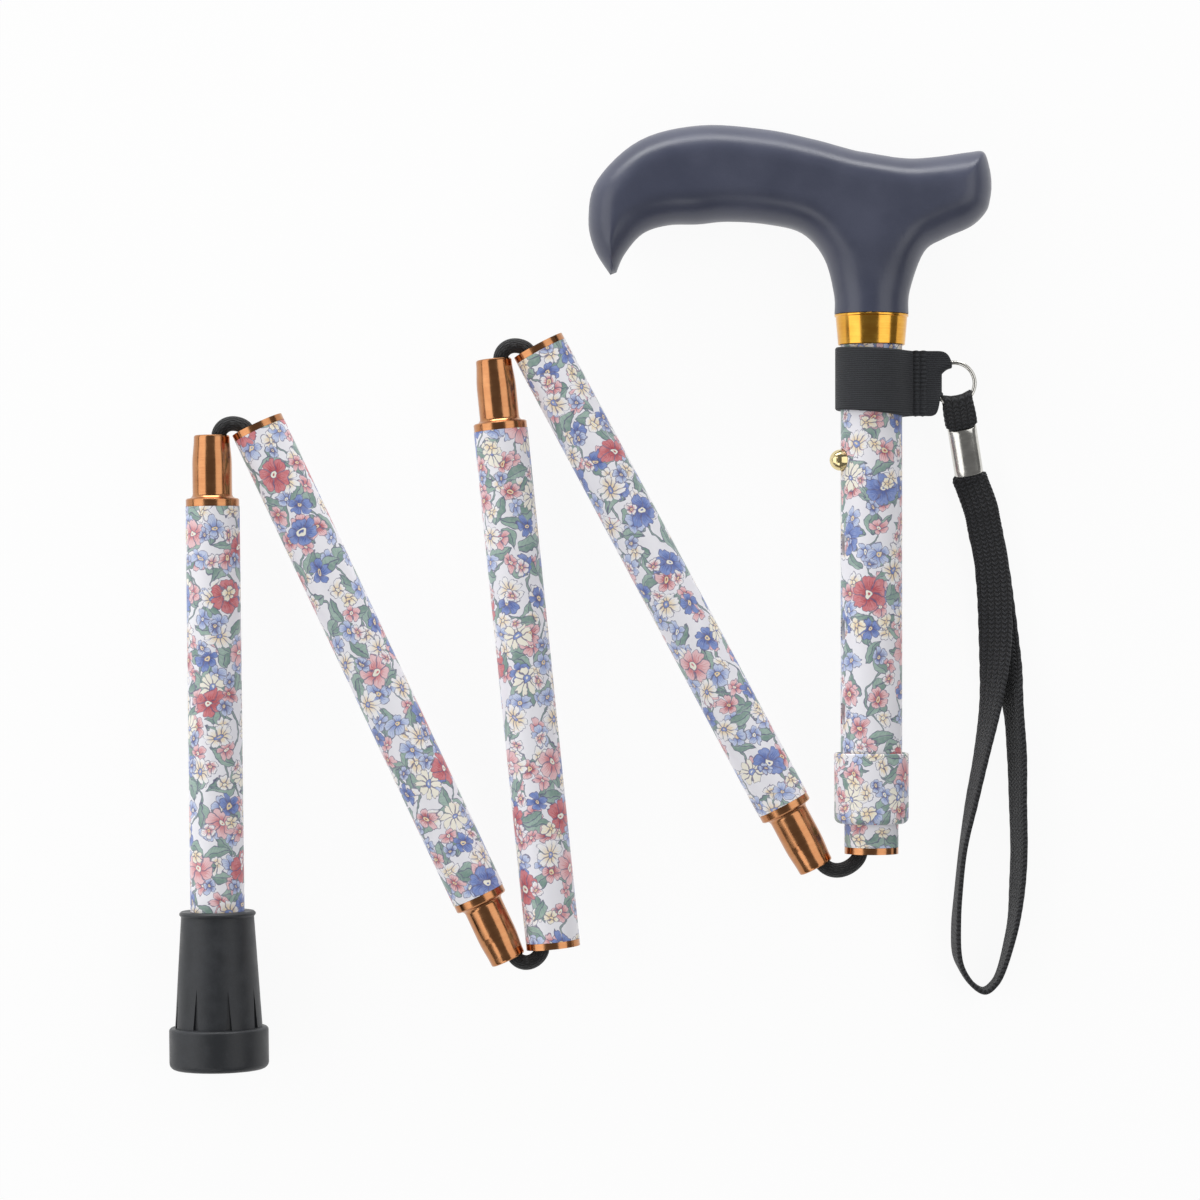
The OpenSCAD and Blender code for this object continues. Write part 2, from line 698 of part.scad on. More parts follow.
module strap_tab() {
    half = web_off + web_t / 2;
    bulge = fold_r + fold_ply;
    end = tab_show + crimp_len / 2 - running_gap / 2;
    wide = web_w * 0.46;
    color("#26282b") in_strap() difference() {
        intersection() {
            rotate([90, 0, 90]) translate([0, 0, -web_w]) linear_extrude(height = 2 * web_w) polygon(concat(
                [for (a = [-90:15:90]) bulge * [cos(a), sin(a)]],
                [[-tab_show + 1, half], [-end, half], [-end, -half], [-tab_show + 1, -half]]
            ));
            translate([0, 0, -web_w]) linear_extrude(height = 2 * web_w) polygon([
                [-tab_fold_w / 2, fold_r + 2 * fold_ply], [tab_fold_w / 2, fold_r + 2 * fold_ply],
                [tab_fold_w / 2, 0], [wide, -tab_show * 0.6], [wide, 1 - tab_show],
                [neck_w / 2, 0.2 - tab_show], [neck_w / 2, -end],
                [-neck_w / 2, -end], [-neck_w / 2, 0.2 - tab_show],
                [-wide, 1 - tab_show], [-wide, -tab_show * 0.6], [-tab_fold_w / 2, 0]
            ]);
        }
        rotate([0, 90, 0]) translate([0, 0, -web_w]) cylinder(r = fold_r, h = 2 * web_w, $fn = bore_fn);
    }
}

module strap_crimp() {
    half_w = crimp_w / 2 - crimp_wall;
    half_t = web_off + web_t / 2 + crimp_play;
    color("#c9ccd0") in_strap() translate([0, -tab_show, 0]) rotate([90, 0, 0])
        linear_extrude(height = crimp_len) difference() {
            offset(r = crimp_wall, $fn = 32) square([2 * half_w, 2 * half_t], center = true);
            square([2 * half_w, 2 * half_t], center = true);
            translate([-half_w * 0.06, -half_t - 2 * crimp_wall]) square([half_w * 0.12, 3 * crimp_wall]);
        }
}

function strap_point(y, z) = let(
    flat = [0, y * cos(strap_slope) - z * sin(strap_slope), y * sin(strap_slope) + z * cos(strap_slope)]
) [tab_axis[0] - flat[1] * sin(strap_lean), tab_axis[1] + flat[1] * cos(strap_lean), axis_h + flat[2]];

module strap_loop() {
    necks = [-web_start, -crimp_end];
    first = concat(
        [for (y = necks) concat(strap_point(y, -web_off), [laid_flat, neck_w])],
        [concat(strap_point(-crimp_end - web_flare, -web_off), [laid_flat, web_w])]
    );
    last = [for (q = [2:-1:0]) concat(strap_point(q < 2 ? necks[q] : -crimp_end - web_flare, web_off),
        [-laid_flat, q < 2 ? neck_w : web_w])];
    hung = [tab_axis[0], tab_axis[1], 0];
    laid = [for (q = loop_route) concat(loop_size * [q[0], q[1], q[2]] + hung, [q[3], web_w])];
    route = smooth(concat(first, laid, last), loop_steps);
    rings = len(route);
    edge = 0.4;
    profile = [[1, 1 - edge], [1 - edge, 1], [edge - 1, 1], [-1, 1 - edge],
        [-1, edge - 1], [edge - 1, -1], [1 - edge, -1], [1, edge - 1]];
    at = function(i) let(q = knot(route, i)) [q[0], q[1], q[2]];
    points = [for (i = [0:rings - 1])
        let(
            t = unit(at(i + 1) - at(i - 1)),
            inward = unit(cross(t, [0, 0, 1])),
            rise = cross(inward, t),
            roll = route[i][3],
            face = cos(roll) * inward + sin(roll) * rise,
            across = cross(face, t)
        )
        for (q = profile) let(reach = route[i][4] / 2 - (1 - abs(q[0])) * web_t)
            at(i) + sign(q[0]) * reach * across + q[1] * web_t / 2 * face];
    color("#26282b") translate([-middle[0], -middle[1], 0])
        polyhedron(points, skin(rings, len(profile)), convexity = 6);
}

module cord_bend_4() {
    color("#1d1d20") cord_bend(4);
}

module cord_bend_3() {
    color("#1d1d20") cord_bend(3);
}

module cord_bend_2() {
    color("#1d1d20") cord_bend(2);
}

module cord_bend_1() {
    color("#1d1d20") cord_bend(1);
}

module tube_4() {
    color("#e6e4ee") section_tube(4);
}

module tube_3() {
    color("#e6e4ee") section_tube(3);
}

module tube_2() {
    color("#e6e4ee") section_tube(2);
}

module tube_1() {
    low = foot_floor + washer_t + seat_gap;
    color("#e6e4ee") on_section(1) pipe(tube_d, tube_id, low, len_of(1) - flange_t);
}

module stub_4() {
    color("#b06f45") section_stub(4);
}

module stub_3() {
    color("#b06f45") section_stub(3);
}

module stub_2() {
    color("#b06f45") section_stub(2);
}

module stub_1() {
    color("#b06f45") section_stub(1);
}

module mouth_ring_4() {
    color("#b06f45") section_mouth(4);
}

module mouth_ring_3() {
    color("#b06f45") section_mouth(3);
}

module mouth_ring_2() {
    color("#b06f45") section_mouth(2);
}

module cord_4() {
    color("#1d1d20") section_cord(4, cord_stop, sides[3] * cord_at_mouth);
}

module cord_3() {
    color("#1d1d20") section_cord(3, cord_stop, sides[2] * cord_at_mouth);
}

module cord_2() {
    color("#1d1d20") section_cord(2, cord_stop, sides[1] * cord_at_mouth);
}

module cord_1() {
    color("#1d1d20") section_cord(1, foot_floor + washer_t + anchor_low + anchor_lip + running_gap, 0);
}

module cord_anchor_bottom() {
    low = foot_floor + washer_t + anchor_low;
    color("#2c2c30") on_section(1)
        translate([0, 0, 2 * low + anchor_h]) mirror([0, 0, 1]) anchor_plug(low, 0);
}

module foot_washer() {
    color("#b9bcc0") on_section(1) translate([0, 0, foot_floor]) cylinder(d = tube_d, h = washer_t);
}

module foot() {
    base = foot_base_d / 2;
    waist = foot_waist_d / 2;
    top = foot_top_d / 2;
    bore = tube_d / 2 + seat_gap;
    rim = foot_edge / 2;
    color("#3a3c3e") on_section(1) difference() {
        rotate_extrude() polygon(concat(
            [[0, 0]],
            [for (a = [0:15:90]) [base - foot_edge * (1 - sin(a)), foot_edge * (1 - cos(a))]],
            [for (a = [0:15:90]) [base - rim * (1 - cos(a)), foot_base_h - rim * (1 - sin(a))]],
            [[waist, foot_base_h], [top, foot_h - foot_bead - 0.4], [top + 0.5, foot_h - foot_bead + 0.2]],
            [[top + 0.5, foot_h - 0.5], [top, foot_h], [bore, foot_h], [bore, foot_floor], [0, foot_floor]]
        ));
        for (r = [base * 0.3, base * 0.6]) translate([0, 0, -1]) difference() {
            cylinder(r = r + tread_w / 2, h = tread_deep + 1);
            translate([0, 0, -1]) cylinder(r = r - tread_w / 2, h = tread_deep + 3);
        }
        for (i = [0:flute_count - 1]) rotate([0, 0, 360 * (i + 0.42) / flute_count])
            translate([waist - flute_deep, 0, foot_base_h + 0.1]) rotate([90, 0, 90])
                linear_extrude(height = foot_ledge + flute_deep)
                    polygon([[-flute_w / 2, 0], [flute_w / 2, 0], [0, flute_h]]);
    }
}

handle();
handle_collar();
handle_tube();
collet_bush();
strap_cuff();
lock_ring();
inner_tube();
mouth_ring_5();
cord_anchor_top();
cord_5();
snap_button();
button_spring();
strap_ring();
strap_tab();
strap_crimp();
strap_loop();
cord_bend_4();
tube_4();
stub_4();
mouth_ring_4();
cord_4();
cord_bend_3();
tube_3();
stub_3();
mouth_ring_3();
cord_3();
cord_bend_2();
tube_2();
stub_2();
mouth_ring_2();
cord_2();
cord_bend_1();
tube_1();
stub_1();
cord_1();
foot();
foot_washer();
cord_anchor_bottom();
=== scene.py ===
import math
import bmesh
import bpy
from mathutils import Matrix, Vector


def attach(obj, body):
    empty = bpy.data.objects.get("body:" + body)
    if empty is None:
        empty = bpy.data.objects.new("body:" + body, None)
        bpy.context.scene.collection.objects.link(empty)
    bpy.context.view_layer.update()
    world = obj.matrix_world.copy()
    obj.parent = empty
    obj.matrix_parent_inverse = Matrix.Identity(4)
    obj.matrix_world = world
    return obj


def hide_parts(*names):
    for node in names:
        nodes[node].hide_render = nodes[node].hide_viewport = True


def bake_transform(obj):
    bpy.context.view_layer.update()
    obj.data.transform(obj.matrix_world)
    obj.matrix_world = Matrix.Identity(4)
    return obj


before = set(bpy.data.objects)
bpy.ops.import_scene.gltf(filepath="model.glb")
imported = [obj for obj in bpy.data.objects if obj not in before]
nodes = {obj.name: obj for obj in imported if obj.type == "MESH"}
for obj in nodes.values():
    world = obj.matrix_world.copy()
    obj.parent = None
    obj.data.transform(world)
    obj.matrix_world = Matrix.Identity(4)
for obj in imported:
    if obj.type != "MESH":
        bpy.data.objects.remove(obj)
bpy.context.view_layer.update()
mm = 0.001
axisHeight = 14.7  # height of all tube axes above the table, mm
print("frame loaded:", len(nodes), "nodes")

# Mouth of each section on the table in mm, and its turn from the handle tube, clockwise in degrees
sections = {
    5: {"mouth": (86.315, -75.873), "turn": 0.0},
    4: {"mouth": (-12.561, 74.682), "turn": 151.9},
    3: {"mouth": (-7.990, -103.726), "turn": -5.8},
    2: {"mouth": (-95.874, 51.217), "turn": 154.8},
    1: {"mouth": (-106.965, -139.647), "turn": -0.7},
}


def ink(*shades):
    # screen colour to the linear colour that shaders take
    linear = lambda c: c / 12.92 if c <= 0.04 else ((c + 0.055) / 1.055) ** 2.4
    return tuple(linear(shade / 255) for shade in shades) + (1.0,)


def through(points, i, t):
    # smooth curve through the points, between point i and the next
    knot = lambda k: points[max(0, min(len(points) - 1, k))]
    return tuple(
        0.5 * (2 * b + (c - a) * t + (2 * a - 5 * b + 4 * c - d) * t * t + (3 * b - a - 3 * c + d) * t ** 3)
        for a, b, c, d in zip(knot(i - 1), knot(i), knot(i + 1), knot(i + 2))
    )


def smoothRun(points, steps):
    run = [through(points, i, s / steps) for i in range(len(points) - 1) for s in range(steps)]
    return run + [tuple(points[-1])]


def eased(t):
    t = max(0.0, min(1.0, t))
    return t * t * (3 - 2 * t)


def toward(a, b, share):
    return a + (b - a) * eased(share)


def partWay(a, b, share):
    return tuple(p + (q - p) * share for p, q in zip(a, b))


def meshObject(name, verts, faces, uvs=None, smooth=True):
    mesh = bpy.data.meshes.new(name)
    mesh.from_pydata([Vector(v) * mm for v in verts], [], faces)
    if uvs:
        layer = mesh.uv_layers.new(name="weave")
        for loop in mesh.loops:
            layer.data[loop.index].uv = uvs[loop.vertex_index]
    mesh.validate()
    mesh.update()
    if smooth:
        mesh.shade_smooth()
    obj = bpy.data.objects.new(name, mesh)
    bpy.context.scene.collection.objects.link(obj)
    return obj


def sweep(rings, looped=False):
    # faces that skin rings of the same point count
    n = len(rings[0])
    verts = [p for ring in rings for p in ring]
    faces = []
    for i in range(len(rings) if looped else len(rings) - 1):
        up = (i + 1) % len(rings)
        for j in range(n):
            k = (j + 1) % n
            faces.append((i * n + j, i * n + k, up * n + k, up * n + j))
    if not looped:
        faces.append(tuple(reversed(range(n))))
        faces.append(tuple((len(rings) - 1) * n + j for j in range(n)))
    return verts, faces


def faceOutward(obj, weld=0.0):
    # turns all faces outward, after joining points that lie closer than weld, mm
    shell = bmesh.new()
    shell.from_mesh(obj.data)
    if weld:
        bmesh.ops.remove_doubles(shell, verts=shell.verts, dist=weld * mm)
    bmesh.ops.recalc_face_normals(shell, faces=shell.faces)
    shell.to_mesh(obj.data)
    shell.free()


class Wire:
    # one value in a node tree, so that sums on it read as plain code
    def __init__(self, tree, socket):
        self.tree, self.socket = tree, socket

    def __add__(self, other):
        return calc("ADD", self, other)

    def __sub__(self, other):
        return calc("SUBTRACT", self, other)

    def __rsub__(self, other):
        return calc("SUBTRACT", other, self)

    def __mul__(self, other):
        return calc("MULTIPLY", self, other)

    def __truediv__(self, other):
        return calc("DIVIDE", self, other)

    def __abs__(self):
        return calc("ABSOLUTE", self)


def treeOf(*values):
    return next(value.tree for value in values if isinstance(value, Wire))


def feed(socket, value):
    if isinstance(value, Wire):
        value.tree.links.new(value.socket, socket)
    else:
        socket.default_value = value


def calc(operation, *values):
    tree = treeOf(*values)
    node = tree.nodes.new("ShaderNodeMath")
    node.operation = operation
    for socket, value in zip(node.inputs, values):
        feed(socket, value)
    return Wire(tree, node.outputs[0])


def fract(value):
    return calc("FRACT", value)


def sine(value):
    return calc("SINE", value)


def ripple(value, pitch=1.0):
    # ridges of this pitch, from 0 to 1
    return abs(sine(value * (math.pi / pitch)))


def drift(chance, reach):
    return (chance - 0.5) * reach


def length(a, b):
    return calc("SQRT", a * a + b * b)


def tint(share, under, over):
    tree = treeOf(share, under, over)
    node = tree.nodes.new("ShaderNodeMix")
    node.data_type = "RGBA"
    for slot, value in ((0, share), (6, under), (7, over)):
        feed(node.inputs[slot], value)
    return Wire(tree, node.outputs[2])


def span(value, low, high, outLow=0.0, outHigh=1.0, smooth=True):
    node = value.tree.nodes.new("ShaderNodeMapRange")
    node.interpolation_type = "SMOOTHSTEP" if smooth else "LINEAR"
    for socket, part in zip(node.inputs, (value, low, high, outLow, outHigh)):
        feed(socket, part)
    return Wire(value.tree, node.outputs[0])


def grain(place, scale, detail=2.0, rough=0.5, output="Fac"):
    node = place.tree.nodes.new("ShaderNodeTexNoise")
    for name, value in (("Vector", place), ("Scale", scale), ("Detail", detail), ("Roughness", rough)):
        feed(node.inputs[name], value)
    return Wire(place.tree, node.outputs[output])


midGrain = (0.3, 0.7)  # where most of a noise lies


def split(vector, kind="ShaderNodeSeparateXYZ"):
    node = vector.tree.nodes.new(kind)
    feed(node.inputs[0], vector)
    return [Wire(vector.tree, socket) for socket in node.outputs]


def channels(colour):
    return split(colour, "ShaderNodeSeparateColor")


def freshMaterial(name):
    material = bpy.data.materials.new(name)
    material.use_nodes = True
    return material, material.node_tree, material.node_tree.nodes["Principled BSDF"]


def setFinish(shader, colour, rough, gloss=0.5, sheen=0.0):
    feed(shader.inputs["Base Color"], colour)
    feed(shader.inputs["Roughness"], rough)
    shader.inputs["Specular IOR Level"].default_value = gloss
    shader.inputs["Sheen Weight"].default_value = sheen


def raised(shader, height, distance, strength=1.0):
    # bump of this depth in mm
    node = height.tree.nodes.new("ShaderNodeBump")
    feed(node.inputs["Height"], height)
    node.inputs["Distance"].default_value = distance * mm
    node.inputs["Strength"].default_value = strength
    feed(shader.inputs["Normal"], Wire(height.tree, node.outputs[0]))


def wovenFinish(shader, place, weave, facts):
    # threads above valleys darkened as painted shade, with pale lint
    fuzz = grain(place, *facts["fuzz"])
    colour = tint(weave, facts["valley"], facts["thread"])
    colour = tint(span(fuzz, *facts["lint"]), colour, facts["shine"])
    setFinish(shader, colour, facts["rough"], facts["gloss"], facts["sheen"])
    raised(shader, weave + fuzz * facts["fuzzRise"], facts["depth"])


def objectPlace(tree, mouth=(0.0, 0.0), turn=0.0):
    # millimetre place on a section: x across, y up the section, z above the tube axis
    place = tree.nodes.new("ShaderNodeTexCoord")
    move = tree.nodes.new("ShaderNodeMapping")
    angle = math.radians(turn)
    x, y = mouth
    move.inputs["Scale"].default_value = (1000, 1000, 1000)
    move.inputs["Rotation"].default_value = (0, 0, angle)
    move.inputs["Location"].default_value = (
        -(x * math.cos(angle) - y * math.sin(angle)),
        -(x * math.sin(angle) + y * math.cos(angle)),
        -axisHeight,
    )
    feed(move.inputs["Vector"], Wire(tree, place.outputs["Object"]))
    return Wire(tree, move.outputs["Vector"])


def wovenPlace(tree):
    # millimetre place on a woven piece: across, along, and both
    uv = tree.nodes.new("ShaderNodeUVMap")
    uv.uv_map = "weave"
    place = Wire(tree, uv.outputs[0])
    return split(place)[:2] + [place]


crease = math.radians(32)  # edges sharper than this stay sharp on the CAD pieces


def dress(name, material):
    obj = nodes[name]
    obj.data.materials.clear()
    obj.data.materials.append(material)
    obj.data.shade_smooth()
    obj.data.set_sharp_from_angle(angle=crease)


# Camera above the table, as in the photograph: place, height, lens and sensor in mm, reach in metres
cameraFacts = {"above": (5.85, -0.75), "height": 1155.0, "lens": 115.4, "sensor": 36.0, "reach": 20.0}


def makeCamera():
    data = bpy.data.cameras.new("photoCamera")
    data.lens = cameraFacts["lens"]
    data.sensor_width = cameraFacts["sensor"]
    data.clip_end = cameraFacts["reach"]
    camera = bpy.data.objects.new("photoCamera", data)
    x, y = cameraFacts["above"]
    camera.location = (x * mm, y * mm, cameraFacts["height"] * mm)
    bpy.context.scene.collection.objects.link(camera)
    bpy.context.scene.camera = camera
    print("camera placed")


makeCamera()

# Wrist strap: place of the tab's axis, lean and slope of tab and crimp, sizes of the webbing, mm
strap = {
    "tabAxis": (111.873, 58.2795),
    "lean": 11.4,
    "slope": 24.0,
    "necks": (16.25, 19.0, 21.0, 22.4, 23.6),
    "flare": 25.1,
    "leave": 0.2,
    "webOff": 0.9,
    "width": 10.0,
    "neck": 6.9,
    "thick": 1.6,
    "selvagePitch": 1.35, "selvage": 0.16, "selvageFrom": 0.9,
    "steps": 18, "pathStep": 3,
}
# Route of the hanging loop: x and y from the tab's axis, height above the table, roll of the webbing
loopRoute = [
    (7.9, -31.4, 2, 90), (9.4, -37.4, 1.3, 90), (11.5, -48.4, 1.2, 90), (13.4, -62.4, 1.7, 84),
    (15.1, -76.4, 2.9, 70), (17.4, -90.4, 5.1, 29), (18.6, -105.4, 5.2, 25), (18.9, -119.4, 5.25, 21),
    (19.2, -133.4, 5.3, 19), (18.7, -144.4, 5.3, 17), (17.7, -154.4, 5.4, 10), (16, -162.4, 5.4, 6),
    (14, -169.4, 5.4, 2), (12, -173.4, 5.4, 0), (8.8, -175.8, 5.4, 0), (5.2, -173.8, 5.4, 0),
    (2.2, -169.4, 5.4, 0), (0.6, -164.4, 5.4, -5), (0.4, -156.4, 5.4, -5), (1, -147.4, 5.4, -2),
    (2.5, -133.4, 5.4, -2), (5.1, -119.4, 5.4, -11), (8, -105.4, 5.4, -17), (10.7, -90.4, 5.4, -32),
    (11.9, -76.4, 5.7, -56), (12, -62.4, 5.5, -80), (11, -48.4, 5, -90), (8.9, -37.4, 5.1, -90),
    (7.7, -31.4, 5.7, -90),
]
# Cross-section of the webbing in half widths and half thicknesses, with thick selvages
webUpper = [
    (1, -0.35), (1, 0.35), (0.93, 0.8), (0.8, 1), (0.4, 0.93), (0, 1), (-0.4, 0.93), (-0.8, 1), (-0.93, 0.8),
]
webProfile = webUpper + [(-u, -v) for u, v in webUpper]


def strapPoint(x, y, z):
    # place on the sloping tab and crimp to the row frame, mm
    slope, lean = math.radians(strap["slope"]), math.radians(strap["lean"])
    flat = y * math.cos(slope) - z * math.sin(slope)
    rise = y * math.sin(slope) + z * math.cos(slope)
    x0, y0 = strap["tabAxis"]
    return (
        x0 + x * math.cos(lean) - flat * math.sin(lean),
        y0 + x * math.sin(lean) + flat * math.cos(lean),
        axisHeight + rise,
    )


def selvageAt(along, u):
    wave = strap["selvage"] * math.sin(2 * math.pi * along / strap["selvagePitch"])
    return math.copysign(wave, u) if abs(u) > strap["selvageFrom"] else 0.0


def strapRoute():
    # down from the crimp, round the hanging loop and back into the crimp
    off, leave, wide = strap["webOff"], strap["leave"], strap["width"]
    ends = [(-y, strap["neck"]) for y in strap["necks"]] + [(-strap["flare"], wide)]
    x0, y0 = strap["tabAxis"]
    down = [strapPoint(0, y, -off) + (90, w) for y, w in ends]
    hang = [(x + x0, y + y0, z, roll, wide) for x, y, z, roll in loopRoute]
    back = [strapPoint(0, y, off) + (-90, w) for y, w in reversed(ends)]
    # a point just past each flare keeps the spacing even, so that the webbing doesn't double back
    ahead, behind = partWay(down[-1], hang[0], leave), partWay(back[0], hang[-1], leave)
    return down + [ahead] + hang + [behind] + back


def makeStrapLoop(material, heldPieces):
    run = smoothRun(strapRoute(), strap["steps"])
    at = [Vector(q[:3]) for q in run]
    thick = strap["thick"] / 2
    rings, uvs, along = [], [], 0.0
    for i, point in enumerate(at):
        if i:
            along += (point - at[i - 1]).length
        t = (at[min(i + 1, len(at) - 1)] - at[max(i - 1, 0)]).normalized()
        inward = t.cross(Vector((0, 0, 1))).normalized()
        rise = inward.cross(t)
        roll, half = math.radians(run[i][3]), run[i][4] / 2
        face = math.cos(roll) * inward + math.sin(roll) * rise
        across = face.cross(t)
        out = [half * u + selvageAt(along, u) for u, v in webProfile]
        rings.append([point + x * across + thick * v * face for x, (u, v) in zip(out, webProfile)])
        uvs += [(half * u, along) for u, v in webProfile]
    verts, faces = sweep(rings)
    loop = meshObject("wristLoop", verts, faces, uvs)
    loop.data.materials.append(material)
    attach(loop, "strap")
    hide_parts("strap_loop")
    [c * mm for c in strapPoint(0, -strap["necks"][-1], 0)]
    print("wrist loop made, mm:", round(along, 1))


# Webbing tab folded round the ring: half widths, fold, and where each of them changes, mm
tab = {
    "half": 4.6, "foldHalf": 4.25, "neckHalf": 3.4,
    "fold": 1.65, "foldThick": 1.1, "spread": 7.6, "taper": 5.0,
    "neckFrom": 8.5, "neckRun": 1.1,
    "follow": 0.6, "followRun": 6.0, "ringRadius": 6.1, "ringMid": 0.75,
    "end": 15.95, "plySteps": 34, "foldSteps": 20,
}


def tabPly(y, side):
    # one ply at y below the fold: place, direction of its face, half width and thickness
    height = toward(strap["webOff"], tab["fold"], y / tab["spread"] + 1)
    half = toward(tab["half"], tab["foldHalf"], y / tab["taper"] + 1)
    half = toward(tab["neckHalf"], half, (y + tab["neckFrom"]) / tab["neckRun"])
    thick = toward(strap["thick"], tab["foldThick"], y / tab["taper"] + 1)
    return y, side * height, 0.0, float(side), half, thick


def tabStations():
    # up the lower ply, round the fold and down the upper ply
    steps, fold = tab["plySteps"], tab["fold"]
    stations = [tabPly(-tab["end"] * (1 - i / steps), -1) for i in range(steps)]
    for i in range(tab["foldSteps"] + 1):
        a = math.pi * (i / tab["foldSteps"] - 0.5)
        c, s = math.cos(a), math.sin(a)
        stations.append((fold * c, fold * s, c, s, tab["foldHalf"], tab["foldThick"]))
    return stations + [tabPly(-tab["end"] * i / steps, 1) for i in range(1, steps + 1)]


def makeStrapTab(material):
    stations, slope, radius = tabStations(), math.radians(strap["slope"]), tab["ringRadius"]
    rings, uvs, along = [], [], 0.0
    for i, (y, z, ny, nz, half, thick) in enumerate(stations):
        if i:
            along += math.hypot(y - stations[i - 1][0], z - stations[i - 1][1])
        ring = []
        for u, v in webProfile:
            x = half * u + selvageAt(along, u)
            sag = radius - math.sqrt(radius ** 2 - x * x) - tab["ringMid"]
            lift = tab["follow"] * sag * eased(y / tab["followRun"] + 1)
            reach = thick / 2 * v
            up, out = y + lift * math.cos(slope) + reach * ny, z - lift * math.sin(slope) + reach * nz
            ring.append(strapPoint(x, up, out))
            uvs.append((half * u, along))
        rings.append(ring)
    verts, faces = sweep(rings)
    piece = meshObject("wristTab", verts, faces, uvs)
    piece.data.materials.append(material)
    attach(piece, "strap")
    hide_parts("strap_tab")
    print("wrist tab made")
    return piece


# Nickel crimp round tab and loop: sheet bent to a crowned flat tube, its seam below, mm and degrees
crimp = {
    "half": 4.3, "rise": 2.55, "crown": 0.7, "corner": 3.2, "wall": 0.7,
    "from": -8.6, "to": -23.6, "lip": 0.25,
    "seamTurn": 1.39535, "crease": 50,
    "around": 96, "endSteps": 4, "bodySteps": 8,
}


def crimpRing(share, shrink):
    # place on the section at a share of the way round, from the seam up the right side and back
    seam, power = crimp["seamTurn"], crimp["corner"]
    a = math.radians(seam - 90 + share * (360 - 2 * seam))
    c, s = math.cos(a), math.sin(a)
    reach = (abs(c) ** power + abs(s) ** power) ** (-1 / power)
    x, z = reach * c * (crimp["half"] - shrink), reach * s
    sunk = crimp["crown"] * (x / crimp["half"]) ** 2 * abs(z)
    return x, z * (crimp["rise"] - shrink) - math.copysign(sunk, z)


def makeCrimp():
    run, lip, wall = crimp["from"] - crimp["to"], crimp["lip"], crimp["wall"]
    quarter = [math.pi / 2 * i / crimp["endSteps"] for i in range(crimp["endSteps"] + 1)]
    ends = [(lip * (1 - math.cos(a)), lip * (1 - math.sin(a))) for a in quarter]
    body = [run * i / crimp["bodySteps"] for i in range(1, crimp["bodySteps"])]
    rings = []
    for j in range(crimp["around"] + 1):
        share = j / crimp["around"]
        outer = [(along, crimpRing(share, sink)) for along, sink in ends]
        outer += [(along, crimpRing(share, 0.0)) for along in body]
        outer += [(run - along, crimpRing(share, sink)) for along, sink in reversed(ends)]
        inner = [(run, crimpRing(share, wall)), (0.0, crimpRing(share, wall))]
        rings.append([strapPoint(x, crimp["from"] - along, z) for along, (x, z) in outer + inner])
    verts, faces = sweep(rings)
    piece = meshObject("nickelCrimp", verts, faces)
    faceOutward(piece)
    piece.data.set_sharp_from_angle(angle=math.radians(crimp["crease"]))
    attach(piece, "strap")
    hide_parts("strap_crimp")
    print("crimp made")
    return piece


# Woven black webbing, in columns of slanted stitches; its valley colour paints shade into the grooves
# between them
webbing = {
    "thread": ink(46, 47, 51), "valley": ink(13, 13, 15), "shine": ink(78, 80, 86),
    "column": 2.0, "middle": 50.5, "stitch": 1.35, "slant": 1.1,
    "ridge": (0.05, 0.42), "groove": (0.0, 0.16), "fuzz": (3.5, 4.0, 0.7), "lint": (0.5, 0.8, 0.0, 0.6),
    "fuzzRise": 0.35, "depth": 0.32,
    "rough": 0.66, "gloss": 0.4, "sheen": 0.15,
}


def webbingMaterial(name):
    material, tree, shader = freshMaterial(name)
    x, y, place = wovenPlace(tree)
    side = abs(fract(x / webbing["column"] + webbing["middle"]) - 0.5)
    wave = abs(fract(y / webbing["stitch"] + side * webbing["slant"]) - 0.5)
    # where the weave is low, the valley colour darkens it as painted shade
    weave = span(wave, *webbing["ridge"]) * span(side, *webbing["groove"])
    wovenFinish(shader, place, weave, webbing)
    return material


blackWebbing = webbingMaterial("blackWebbing")
crimpPiece = makeCrimp()
makeStrapLoop(blackWebbing, [makeStrapTab(blackWebbing), crimpPiece])

# Flower print on a white film: inks for outlines, leaves and blossoms
printInks = {
    "ground": ink(246, 245, 251),
    "line": ink(98, 92, 130),
    "stem": ink(140, 162, 156),
    "leaf": ink(162, 188, 177),
    "leafDeep": ink(116, 147, 138),
    "coralDeep": ink(188, 80, 90),
    "coral": ink(217, 128, 134),
    "rose": ink(243, 203, 207),
    "blueDeep": ink(84, 102, 170),
    "blue": ink(130, 152, 211),
    "sky": ink(204, 215, 241),
    "cream": ink(252, 247, 232),
    "peach": ink(246, 222, 178),
    "white": ink(252, 251, 253),
}
